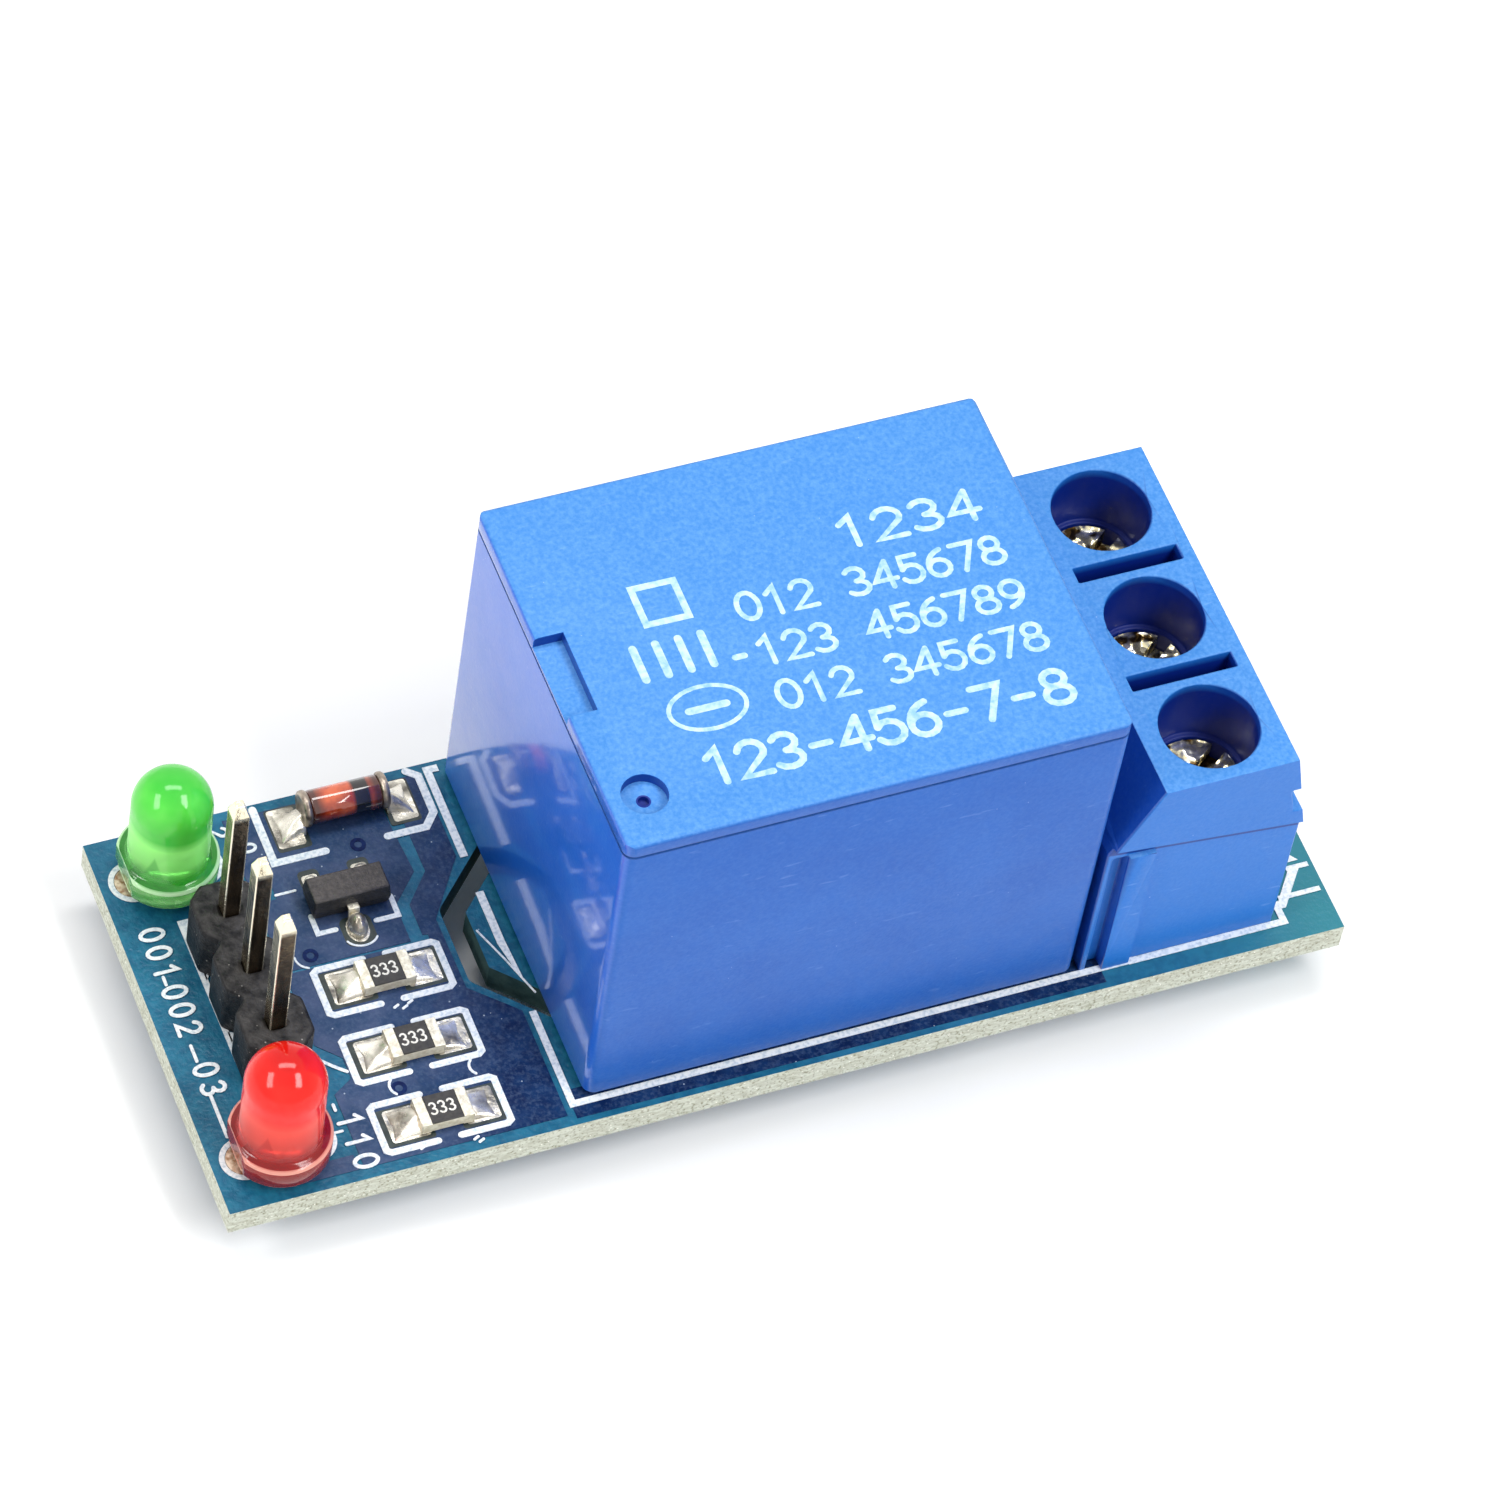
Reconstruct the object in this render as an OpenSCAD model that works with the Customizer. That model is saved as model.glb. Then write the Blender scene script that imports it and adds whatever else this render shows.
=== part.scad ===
// Single-channel relay module: a small board that carries a sealed change-over relay,
// a three-pole screw terminal block, a three-pin header and its driver parts.
// Frame: Z up, origin on the surface that the trimmed pin tails stand on, below the
// board's centre, X along the board from the header end to the wire end, Y across it.

/* [Board] */
// Thickness of the circuit board
board_t = 1.2; // [0.8:0.1:2]
// Board length from the header end to the relay
control_l = 13.73; // [13.2:0.01:20]
// Bare strip of board past the wire side of the terminal block
wire_edge = 2.56; // [0.5:0.01:6]
// Board strip in front of the relay
front_margin = 0.94; // [0.3:0.01:4]
// Board strip behind the relay
back_margin = 0.36; // [0.2:0.01:4]
// Least board strip at each end of the terminal block
block_margin = 0.5; // [0.2:0.1:4]
// Length of the relay and terminal pins below the board
tail_l = 2; // [1.2:0.1:3.5]
// Length of the header pins below the board
header_tail = 1.8; // [0.8:0.1:3.5]
// Length of the trimmed lamp leads below the board
led_tail = 1.6; // [0.8:0.1:3.5]
// Clearance of a drilled hole round the corners of its pin
hole_fit = 0.08; // [0.04:0.01:0.3]
// Width of the solder land round each hole
land_w = 0.42; // [0.2:0.01:0.8]
// Height of the solder cone round each pin
joint_h = 0.95; // [0.4:0.05:1.2]
// Width of the routed isolation slot
slot_w = 0.9; // [0.6:0.05:1.2]
// Distance from the slot's straight run to the relay
slot_lead = 1.78; // [1:0.01:2.2]
// Half length of the slot's straight run
slot_half = 1.45; // [1:0.05:2]
// Radius of the plated through holes between tracks
via_r = 0.18; // [0.1:0.01:0.3]

/* [Relay] */
// Length of the relay
relay_l = 19.1; // [18:0.1:26]
// Width of the relay
relay_w = 15.3; // [14:0.1:20]
// Height of the relay above the board
relay_h = 15.46; // [14:0.01:22]
// Thickness of the cover's side walls
cover_wall = 0.8; // [0.5:0.05:1]
// Thickness of the cover's top
cover_top = 0.9; // [0.75:0.05:1.2]
// Rounding of the cover's upright corners
cover_corner_r = 0.45; // [0.2:0.05:1]
// Rounding of the cover's top edges
cover_edge_r = 0.22; // [0.1:0.01:0.5]
// Height of the moulding line below the cover's top
rim_drop = 0.62; // [0.4:0.01:1.2]
// Depth of the moulding line
rim_depth = 0.08; // [0.04:0.01:0.15]
// Height of the feet that hold the relay off the board
relay_standoff = 0.3; // [0.1:0.05:0.6]
// Thickness of the relay's base
base_t = 1.6; // [1:0.1:2.5]
// Clearance between the base and the cover
base_fit = 0.05; // [0.02:0.01:0.2]
// Thickness of the magnet yoke
yoke_t = 1.2; // [0.8:0.1:1.6]
// Thickness of the armature
armature_t = 1.1; // [0.8:0.1:1.4]
// Angle between the released armature and the pole face
armature_tilt = 3; // [2:0.25:4]
// Radius of the iron core
core_r = 1.6; // [1.2:0.1:2]
// Radius of the pole face
pole_r = 3.3; // [2.5:0.1:3.6]
// Thickness of the bobbin's flanges
flange_t = 0.7; // [0.5:0.05:1]
// Thickness of the bobbin's tube
bobbin_wall = 0.6; // [0.4:0.05:0.9]
// Thickness of the contact strips
strip_t = 0.5; // [0.3:0.05:0.6]
// Width of the contact strips
strip_w = 2.4; // [1.6:0.1:3]
// Width of the relay's flat pins
flat_pin_w = 1; // [0.8:0.05:1.3]
// Side of the square coil pins
coil_pin = 0.6; // [0.4:0.05:0.8]
// Thickness of the contact spring
spring_t = 0.18; // [0.12:0.01:0.25]
// Height of each contact button
button_h = 0.35; // [0.25:0.01:0.45]
// Radius of each contact button
button_r = 1.1; // [0.8:0.05:1.3]

/* [Terminal block] */
// Number of wire poles
poles = 3; // [2:1:3]
// Distance between neighbouring poles
pole_pitch = 5.08; // [5:0.01:6.2]
// Depth of the block from the relay side to the wire side
block_d = 7.75; // [7.6:0.05:10]
// Height of the block above the board
block_h = 10.75; // [10.5:0.05:14]
// Gap between the relay and the block
block_gap = 0.26; // [0.1:0.01:2]
// Height where the wire side starts to slope
wire_shoulder_h = 6.6; // [6.4:0.05:8]
// Height where the relay side starts to slope
back_shoulder_h = 7.8; // [7.2:0.05:9]
// Radius of a screwdriver well
well_r = 1.85; // [1.8:0.05:2]
// Depth of a screw head below the block's top
head_depth = 3; // [2:0.1:3.2]
// Radius of a screw head
head_r = 1.6; // [1.4:0.01:1.6]
// Clearance of a screw head in its seat
head_fit = 0.05; // [0.03:0.01:0.05]
// Height of a screw head
head_h = 1.3; // [1.1:0.05:1.6]
// Radius of a screw shank
shank_r = 1.2; // [1:0.05:1.3]
// Clearance round a screw shank
shank_fit = 0.05; // [0.02:0.01:0.1]
// Width of the slots between the wells
gap_slot_w = 0.68; // [0.4:0.02:0.9]
// Depth of the slots between the wells
gap_slot_depth = 2.6; // [1:0.1:3.5]
// Height of the groove along the wire side's slope
mark_groove_h = 1.3; // [0.8:0.1:1.6]
// Depth of the groove along the wire side's slope
mark_groove_depth = 0.35; // [0.1:0.05:0.5]
// Width of the opening for a wire
wire_w = 3.1; // [2.4:0.1:3.3]
// Height of the opening for a wire
wire_h = 3; // [2:0.1:3.2]
// Sheet thickness of the wire cage
cage_t = 0.4; // [0.3:0.05:0.5]
// Thickness of the cage's threaded top
cage_nut_t = 1; // [0.8:0.05:1.2]
// Clearance beside the wire cage
cage_fit = 0.1; // [0.06:0.01:0.2]
// Width of a terminal pin
block_pin_w = 1.1; // [0.8:0.05:1.3]
// Sheet thickness of a terminal pin
block_pin_t = 0.6; // [0.4:0.05:0.8]

/* [Header] */
// Distance between neighbouring header pins
header_pitch = 2.54; // [2.5:0.01:2.8]
// Side of a square header pin
header_pin = 0.64; // [0.5:0.02:0.7]
// Height of the header's plastic body
header_h = 2.54; // [2:0.01:3]
// Length of a header pin above the plastic body
header_free_l = 6.4; // [4:0.1:8]
// Distance from the board's end to the row of pins
header_inset = 3.5; // [2.4:0.1:5]

/* [Lamps] */
// Radius of a lamp's lens
lens_r = 1.5; // [1.3:0.05:1.8]
// Radius of a lens's flange
lens_flange_r = 1.9; // [1.85:0.05:2]
// Height of a lens
lens_h = 5.4; // [4.5:0.1:6.5]
// Height that a lens stands off the board
lens_lift = 0.4; // [0.05:0.05:0.5]
// Distance between a lamp's two leads
led_pitch = 2.54; // [2.4:0.01:2.6]
// Side of a lamp's square leads
led_lead = 0.45; // [0.35:0.01:0.5]
// Distance from the board's end to the lamps
led_inset = 2.5; // [2.2:0.1:3]
// Distance from the board's long edges to the lamps
led_edge = 2.05; // [1.95:0.05:2.4]

/* [Driver parts] */
// Distance from the board's end to the middle of the chip resistors
chip_x = 8.6; // [7.8:0.1:9]
// Length of a chip resistor
chip_l = 2; // [1.6:0.1:2.2]
// Width of a chip resistor
chip_w = 1.25; // [0.8:0.05:1.6]
// Height of a chip resistor
chip_h = 0.5; // [0.3:0.05:0.7]
// Distance between neighbouring chip resistors
chip_pitch = 3.1; // [2.6:0.05:3.4]
// Distance from the front edge to the first chip resistor
chip_edge = 1.8; // [1.5:0.1:2.4]
// Distance from the back edge to the transistor's middle
transistor_edge = 5; // [4.4:0.1:5]
// Length of the transistor's body
transistor_l = 3; // [2.6:0.1:3.1]
// Width of the transistor's body
transistor_w = 1.3; // [1.1:0.05:1.4]
// Height of the transistor's body
transistor_h = 1; // [0.8:0.05:1.1]
// Distance from the back edge to the diode's axis
diode_edge = 1.2; // [1:0.05:1.4]
// Distance from the board's end to the diode's middle
diode_x = 9.56; // [9:0.01:10]
// Length of the diode
diode_l = 3.3; // [3.2:0.1:3.8]
// Radius of the diode's end caps
diode_r = 0.7; // [0.65:0.01:0.8]
// Height of the solder and pads under surface-mounted parts
chip_seat = 0.06; // [0.03:0.01:0.1]

/* [Hidden] */
$fn = 40;
cut = 1;

// Board
pole_gap = 0.4;
block_w = poles * pole_pitch - pole_gap;
board_l = control_l + relay_l + block_gap + block_d + wire_edge;
board_w = max(front_margin + relay_w + back_margin, block_w + 2 * block_margin);
board_z = tail_l;
tip_solder_t = 0.06;
lead_shows = 0.3;
cone_tip = 0.02;
plating_fit = 0.03;
fillet_toe = 0.05;
top_z = board_z + board_t;
left = -board_l / 2;
front = -board_w / 2;
back = board_w / 2;

// Relay
relay_x = left + control_l;
relay_y = front + front_margin + relay_w / 2;
relay_in = cover_wall + base_fit;
base_z = top_z + relay_standoff;
floor_z = base_z + base_t;
ceiling_z = top_z + relay_h - cover_top;
pin_spread = relay_w / 2 - 1.65;
common_x = relay_x + 2.15;
coil_pin_x = relay_x + 4.5;
contact_x = relay_x + relay_l - 2.7;
pivot_x = common_x + strip_t / 2;
contact_reach = contact_x - pivot_x;
strip_clear = 0.7;
arm_margin = 0.2;
touch_gap = 0.03;
hinge_gap = 0.02;
closed_arm_z = ceiling_z - strip_clear - strip_t;
button_lift = armature_t + spring_t + button_h + hinge_gap;
pivot_z = closed_arm_z - button_h - touch_gap
    - (contact_reach + button_r) * sin(armature_tilt) - button_lift * cos(armature_tilt);
open_arm_z = pivot_z + hinge_gap + armature_t - 2 * button_h - touch_gap - strip_t;
yoke_w = 2 * (pin_spread - coil_pin / 2 - 1.2);
coil_gap = 0.3;
yoke_foot_share = 0.7;
coil_x0 = pivot_x + yoke_t + coil_gap;
coil_x1 = contact_x - strip_w / 2 - 2;
coil_x = (coil_x0 + coil_x1) / 2;
flange_half = (coil_x1 - coil_x0) / 2;
coil_pin_free_l = 1.6;
flange_w = 2 * (pin_spread - coil_pin / 2 - 0.15);
pole_t = 0.4;
flange_top_z = pivot_z - pole_t;
bobbin_z = floor_z + yoke_t;
core_fit = 0.04;
tube_r = core_r + core_fit + bobbin_wall;
winding_r = min(flange_half, flange_w / 2) - 0.35;
stake_r = core_r * 0.75;
stake_recess = 0.1;
rivet_r = 0.5;
rivet_fit = 0.03;
rivet_pitch = 3.2;
rivet_head = 0.12;
armature_l = coil_x1 - pivot_x - 0.2;
armature_corner_r = 0.6;
spring_w = 4.4;
spring_end = 0.6;
spring_tip_w = 2 * button_r + spring_end;
rivets = [for (s = [-1, 1]) [armature_l * 0.45, s * rivet_pitch / 2]];

// Terminal block
block_x = relay_x + relay_l + block_gap;
block_y = -0.1;
screw_x = block_x + 4.27;
top_inset_relay = 1.64;
top_inset_wire = 0.9;
head_top_z = top_z + block_h - head_depth;
well_z = head_top_z + 0.1;
shoulder_z = head_top_z - head_h;
shoulder_t = 0.35;
pocket_r = head_r + head_fit;
rib_depth = 0.2;
back_step = 0.25;
back_step_h = 0.5;
mark_groove_low_h = 7.5;
rib_top_h = 6.95;
head_edge_h = 7.65;
cavity_top_z = shoulder_z - shoulder_t;
cage_side = 0.03;
cage_inner_w = 2 * (shank_r + shank_fit + cage_side);
cage_w = cage_inner_w + 2 * cage_t;
cavity_w = cage_w + 2 * cage_fit;
cavity_x = block_x + 1.2;
cage_lift = 0.3;
cage_slack = 0.1;
cage_l = 3.9;
cage_x = screw_x - cage_l / 2;
cage_end_fit = 0.2;
tab_t = block_pin_t;
cage_room = cavity_top_z - top_z - cage_lift - cage_slack;
cage_inner_h = (cage_room - cage_nut_t - cage_t + tab_t + 2 * cage_slack) / 2;
cage_z = top_z + cage_lift;
cage_h = cage_t + cage_inner_h + cage_nut_t;
tab_top_z = cage_z + cage_t + cage_inner_h - cage_slack;
tab_w = cage_inner_w - 2 * cage_fit;

// Header
header_x = left + header_inset;
header_y = 0;
tip_l = 0.5;
tip_in = 0.16;

// Lamps
led_x = left + led_inset;
led_y_front = front + led_edge;
led_y_back = back - led_edge;
lens_z = top_z + lens_lift;
lens_flange_h = 1;
lens_flat = 0.15;
lead_top_h = 3.1;

// Driver parts
chip_cap_l = 0.4;
chip_cap_t = 0.04;
coat_t = 0.05;
coat_in = 0.03;
seat_z = top_z + chip_seat;
chips_x = left + chip_x;
transistor_y = back - transistor_edge;
transistor_x = chips_x - 0.22;
transistor_lift = 0.1;
transistor_lead_t = 0.12;
transistor_lead_w = 0.42;
transistor_lead_pitch = 0.95;
transistor_mid_h = transistor_h * 0.45;
transistor_mid_z = seat_z + transistor_lift + transistor_mid_h;
transistor_draft = 0.07;
transistor_foot = transistor_w / 2 + 0.55;
diode_y = back - diode_edge;
diode_mid_x = left + diode_x;
diode_z = seat_z + diode_r;
diode_cap_t = 0.3;
diode_glass_r = diode_r - 0.06;
diode_slug_r = 0.42;
diode_die_t = 0.16;
die_side = 0.5;
glass_fit = 0.02;

function pole_y(i) = block_y + (i - (poles + 1) / 2) * pole_pitch;
function header_pin_y(i) = header_y + (i - 2) * header_pitch;
function chip_y(i) = front + chip_edge + (i - 1) * chip_pitch;

// Every lead through the board: x, y, size along x, size along y, length below the board
leads = concat(
    [[common_x, relay_y, strip_t, flat_pin_w, tail_l]],
    [for (s = [-1, 1]) [coil_pin_x, relay_y + s * pin_spread, coil_pin, coil_pin, tail_l]],
    [for (s = [-1, 1]) [contact_x, relay_y + s * pin_spread, flat_pin_w, strip_t, tail_l]],
    [for (i = [1:poles]) [cavity_x + block_pin_t / 2, pole_y(i), block_pin_t, block_pin_w, tail_l]],
    [for (i = [1:3]) [header_x, header_pin_y(i), header_pin, header_pin, header_tail]],
    [for (y = [led_y_front, led_y_back], s = [-1, 1])
        [led_x + s * led_pitch / 2, y, led_lead, led_lead, led_tail]]
);

vias = [
    [left + 9.64, back - 2.8], [left + 6.3, front + 9.6],
    [left + 7.4, front + 3.35], [left + 10.83, front + 3.35]
];

function hole_r(lead) = norm([lead[2], lead[3]]) / 2 + hole_fit;

module block(x0, x1, y0, y1, z0, z1)
    translate([x0, y0, z0]) cube([x1 - x0, y1 - y0, z1 - z0]);

// A straight lead of rectangular section through the board, up to height z1
module lead_bar(lead, z1)
    block(lead[0] - lead[2] / 2, lead[0] + lead[2] / 2, lead[1] - lead[3] / 2, lead[1] + lead[3] / 2,
        board_z - lead[4], z1);

// A flat outline in X and Z, made y1 - y0 wide
module wide(y0, y1) translate([0, y1, 0]) rotate([90, 0, 0]) linear_extrude(y1 - y0) children();

// A flat outline in Y and Z, made x1 - x0 long
module long(x0, x1) translate([x0, 0, 0]) rotate([90, 0, 90]) linear_extrude(x1 - x0) children();

module round_rect(l, w, r) {
    square([l - 2 * r, w], center = true);
    square([l, w - 2 * r], center = true);
    for (x = [-1, 1], y = [-1, 1])
        translate([x * (l / 2 - r), y * (w / 2 - r)]) circle(r);
}

// ---- Board ----

module slot_run(p, q) {
    d = q - p;
    translate(p) rotate(atan2(d[1], d[0])) translate([0, -slot_w / 2]) square([norm(d), slot_w]);
    translate(p) circle(slot_w / 2);
    translate(q) circle(slot_w / 2);
}

// The slot keeps the relay's common pin apart from the control side
module isolation_slot() {
    x = relay_x - slot_lead;
    reach = slot_lead + 1.5;
    ends = [for (s = [-1, 1]) [x + reach, relay_y + s * (slot_half + reach)]];
    bends = [for (s = [-1, 1]) [x, relay_y + s * slot_half]];
    slot_run(ends[0], bends[0]);
    slot_run(bends[0], bends[1]);
    slot_run(bends[1], ends[1]);
}

module pcb() color("teal")
    translate([0, 0, board_z]) linear_extrude(board_t) difference() {
        square([board_l, board_w], center = true);
        for (lead = leads) translate([lead[0], lead[1]]) circle(hole_r(lead));
        for (v = vias) translate(v) circle(via_r);
        isolation_slot();
    }

// Concave cone of solder on the board's underside, with its filling in the plated hole
module solder_joint(lead) {
    r0 = hole_r(lead) + land_w;
    r1 = norm([lead[2], lead[3]]) / 2 + tip_solder_t;
    run = r0 - r1;
    h = min(joint_h, lead[4] - lead_shows);
    arc_r = (run * run + h * h) / (2 * min(run, h));
    translate([lead[0], lead[1], board_z]) difference() {
        union() {
            rotate([180, 0, 0]) rotate_extrude() difference() {
                square([r0, h]);
                translate([r1 + arc_r, h + cone_tip]) circle(arc_r);
            }
            cylinder(r = hole_r(lead) - plating_fit, h = board_t);
        }
        translate([-lead[2] / 2, -lead[3] / 2, -h - cut])
            cube([lead[2], lead[3], h + board_t + 2 * cut]);
    }
}

module solder_joints() color("silver") for (lead = leads) solder_joint(lead);

// Concave fillet outline: it falls from height h at x = 0 to a thin toe at x = l
module fillet_outline(l, h) {
    drop = h - fillet_toe;
    arc_r = (l * l + drop * drop) / (2 * drop);
    difference() {
        square([l, h]);
        translate([l, fillet_toe + arc_r]) circle(arc_r, $fn = 96);
    }
}

// One fillet against a face that looks along +X or -X
module x_fillet(x, y, side, l, h, w)
    translate([x, y, top_z]) mirror([side < 0 ? 1 : 0, 0, 0]) wide(-w / 2, w / 2) fillet_outline(l, h);

module y_fillet(x, y, side, l, h, w)
    translate([x, y, top_z]) rotate([0, 0, side * 90]) wide(-w / 2, w / 2) fillet_outline(l, h);

module solder_fillets() color("silver") {
    chip_run = 1.1;
    chip_run_out = 0.95;
    chip_climb = 0.9;
    chip_climb_out = 0.75;
    diode_run = 0.95;
    diode_run_out = 0.85;
    diode_spread = 1.7;
    foot_run = 0.4;
    foot_spread = 0.1;
    w = chip_w - fillet_toe;
    foot_w = transistor_lead_w + 2 * foot_spread;
    for (i = [1:3]) {
        x_fillet(chips_x - chip_l / 2, chip_y(i), -1, chip_run, chip_h * chip_climb, w);
        x_fillet(chips_x + chip_l / 2, chip_y(i), 1, chip_run_out, chip_h * chip_climb_out, w);
    }
    x_fillet(diode_mid_x - diode_l / 2, diode_y, -1, diode_run, diode_r, diode_r * diode_spread);
    x_fillet(diode_mid_x + diode_l / 2, diode_y, 1, diode_run_out, diode_r, diode_r * diode_spread);
    y_fillet(transistor_x, transistor_y - transistor_foot, -1, foot_run, transistor_lead_t, foot_w);
    for (s = [-1, 1])
        y_fillet(transistor_x + s * transistor_lead_pitch, transistor_y + transistor_foot, 1,
            foot_run, transistor_lead_t, foot_w);
}

// ---- Relay ----

// Upright outline of the cover: square foot, rounded top corners
module dome_outline(l, h, r) {
    translate([-l / 2, 0]) square([l, h - r]);
    translate([-l / 2 + r, 0]) square([l - 2 * r, h]);
    for (s = [-1, 1]) translate([s * (l / 2 - r), h - r]) circle(r);
}

module cover_form(h) intersection() {
    linear_extrude(h) round_rect(relay_l, relay_w, cover_corner_r);
    wide(-relay_w, relay_w) dome_outline(relay_l, h, cover_edge_r);
    long(-relay_l, relay_l) dome_outline(relay_w, h, cover_edge_r);
}

module relay_cover() {
    h = relay_h - relay_standoff;
    pocket_l = 1.1;
    pocket_w = 3.5;
    pocket_depth = 0.5;
    dimple_r = 0.85;
    dimple_depth = 0.45;
    dimple_x = 1.4 - relay_l / 2;
    dimple_y = 2.05 - relay_w / 2;
    vent_r = 0.2;
    vent_depth = 0.2;
    rim_h = 0.12;
    color("royalblue") translate([relay_x + relay_l / 2, relay_y, base_z]) difference() {
        cover_form(h);
        translate([0, 0, (h - cover_top) / 2 - cut / 2])
            cube([relay_l - 2 * cover_wall, relay_w - 2 * cover_wall, h - cover_top + cut], center = true);
        // moulding line round the top
        translate([0, 0, h - rim_drop - rim_h]) linear_extrude(rim_h) difference() {
            square([relay_l + cut, relay_w + cut], center = true);
            round_rect(relay_l - 2 * rim_depth, relay_w - 2 * rim_depth, cover_corner_r);
        }
        // pocket at the header end of the top
        translate([-relay_l / 2 - cut, -pocket_w / 2, h - pocket_depth])
            cube([pocket_l + cut, pocket_w, pocket_depth + cut]);
        // vent dimple in the front corner
        translate([dimple_x, dimple_y, h - dimple_depth]) cylinder(r = dimple_r, h = dimple_depth + cut);
        translate([dimple_x, dimple_y, h - dimple_depth - vent_depth])
            cylinder(r = vent_r, h = dimple_depth);
    }
}

module relay_base() {
    x0 = relay_x + relay_in;
    x1 = relay_x + relay_l - relay_in;
    half_w = relay_w / 2 - relay_in;
    foot_r = 0.6;
    foot_in = 1.3;
    foot_y = relay_w / 2 - 3.6;
    wall_x = coil_x1 + 0.3;
    wall_t = 0.6;
    wall_h = 1.5;
    color("royalblue") difference() {
        union() {
            block(x0, x1, relay_y - half_w, relay_y + half_w, base_z, floor_z);
            for (x = [x0 + foot_in, x1 - foot_in], s = [-1, 1])
                translate([x, relay_y + s * foot_y, top_z])
                    cylinder(r = foot_r, h = relay_standoff + cut / 2);
            // low wall between the coil and the contacts
            block(wall_x, wall_x + wall_t, relay_y - pin_spread, relay_y + pin_spread,
                floor_z - cut / 2, floor_z + wall_h);
        }
        for (i = [0:4]) lead_bar(leads[i], floor_z + cut);
    }
}

module coil_bobbin() color("ivory") difference() {
    flange_corner_r = 0.8;
    ear_l = 1.8;
    ear_w = coil_pin + 0.9;
    union() {
        for (z = [bobbin_z, flange_top_z - flange_t])
            translate([coil_x, relay_y, z]) linear_extrude(flange_t)
                round_rect(2 * flange_half, flange_w, flange_corner_r);
        translate([coil_x, relay_y, bobbin_z + flange_t / 2])
            cylinder(r = tube_r, h = flange_top_z - bobbin_z - flange_t);
        // ears that grip the coil pins
        for (s = [-1, 1])
            translate([coil_pin_x, relay_y + s * pin_spread, bobbin_z + flange_t / 2])
                cube([ear_l, ear_w, flange_t], center = true);
    }
    translate([coil_x, relay_y, bobbin_z - cut]) cylinder(r = core_r + core_fit, h = relay_h);
    for (i = [1, 2]) lead_bar(leads[i], ceiling_z);
}

module coil_winding() color("indianred")
    translate([coil_x, relay_y, bobbin_z + flange_t]) rotate_extrude()
        translate([tube_r + core_fit, 0])
            square([winding_r - tube_r - core_fit, flange_top_z - bobbin_z - 2 * flange_t]);

module coil_core() color("silver") translate([coil_x, relay_y, 0]) {
    translate([0, 0, floor_z + stake_recess]) cylinder(r = stake_r, h = yoke_t);
    translate([0, 0, bobbin_z]) cylinder(r = core_r, h = pivot_z - bobbin_z);
    translate([0, 0, flange_top_z]) cylinder(r = pole_r, h = pole_t);
}

// Bent from one strip: the foot lies under the bobbin and the leg stands behind it
module yoke_outline() {
    bend_r = 1.2;
    foot_x = coil_x + flange_half * yoke_foot_share;
    difference() {
        translate([pivot_x, floor_z]) square([foot_x - pivot_x, pivot_z - floor_z]);
        translate([pivot_x + yoke_t, bobbin_z]) square([relay_l, relay_h]);
        translate([pivot_x, floor_z]) square(bend_r);
    }
    translate([pivot_x + bend_r, floor_z + bend_r]) intersection() {
        circle(bend_r);
        translate([-bend_r, -bend_r]) square(bend_r);
    }
}

module relay_yoke() color("silver") difference() {
    wide(relay_y - yoke_w / 2, relay_y + yoke_w / 2) yoke_outline();
    translate([coil_x, relay_y, floor_z - cut]) cylinder(r = stake_r + core_fit, h = yoke_t + 2 * cut);
}

module coil_pin_bar(i) color("silver") lead_bar(leads[i], bobbin_z + flange_t + coil_pin_free_l);
module coil_pin_1() coil_pin_bar(1);
module coil_pin_2() coil_pin_bar(2);

module common_terminal() {
    plate_w = 3.2;
    plate_top_z = floor_z + 3.6;
    pin_in = 0.4;
    color("silver") {
        lead_bar(leads[0], plate_top_z - pin_in);
        block(common_x - strip_t / 2, common_x + strip_t / 2,
            relay_y - plate_w / 2, relay_y + plate_w / 2, floor_z + yoke_t, plate_top_z);
    }
}

// Pin, upright strip and bent arm of a fixed contact; the arm reaches past the middle
module fixed_terminal(lead, side, arm_z) color("goldenrod") difference() {
    arm_in = lead[1] - side * strip_t / 2;
    arm_end = relay_y - side * (button_r + arm_margin);
    union() {
        lead_bar(lead, arm_z + strip_t / 2);
        block(contact_x - strip_w / 2, contact_x + strip_w / 2,
            lead[1] - strip_t / 2, lead[1] + strip_t / 2, floor_z, arm_z + strip_t);
        block(contact_x - strip_w / 2, contact_x + strip_w / 2,
            min(arm_in, arm_end), max(arm_in, arm_end), arm_z, arm_z + strip_t);
    }
    translate([contact_x, relay_y, arm_z - cut]) cylinder(r = rivet_r + rivet_fit, h = strip_t + 2 * cut);
}

module closed_terminal() fixed_terminal(leads[4], 1, closed_arm_z);
module open_terminal() fixed_terminal(leads[3], -1, open_arm_z);

// Contact button with the shank that rivets it, its face pointing to -Z
module button(grip) {
    translate([0, 0, -button_h]) cylinder(r = button_r, h = button_h);
    translate([0, 0, -button_h / 2]) cylinder(r = rivet_r, h = button_h / 2 + grip);
}

module closed_contact() color("silver") translate([contact_x, relay_y, closed_arm_z]) button(strip_t);
module open_contact() color("silver")
    translate([contact_x, relay_y, open_arm_z + strip_t]) mirror([0, 0, 1]) button(strip_t);

// Carries what moves with the armature from its flat position to the released one
module released() translate([pivot_x, relay_y, pivot_z]) rotate([0, -armature_tilt, 0])
    translate([0, 0, hinge_gap]) children();

module armature() color("silver") released() {
    linear_extrude(armature_t) translate([armature_l / 2, 0])
        round_rect(armature_l, yoke_w, armature_corner_r);
    for (p = rivets) translate([p[0], p[1], armature_t / 2])
        cylinder(r = rivet_r, h = armature_t / 2 + spring_t + rivet_head);
}

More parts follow.
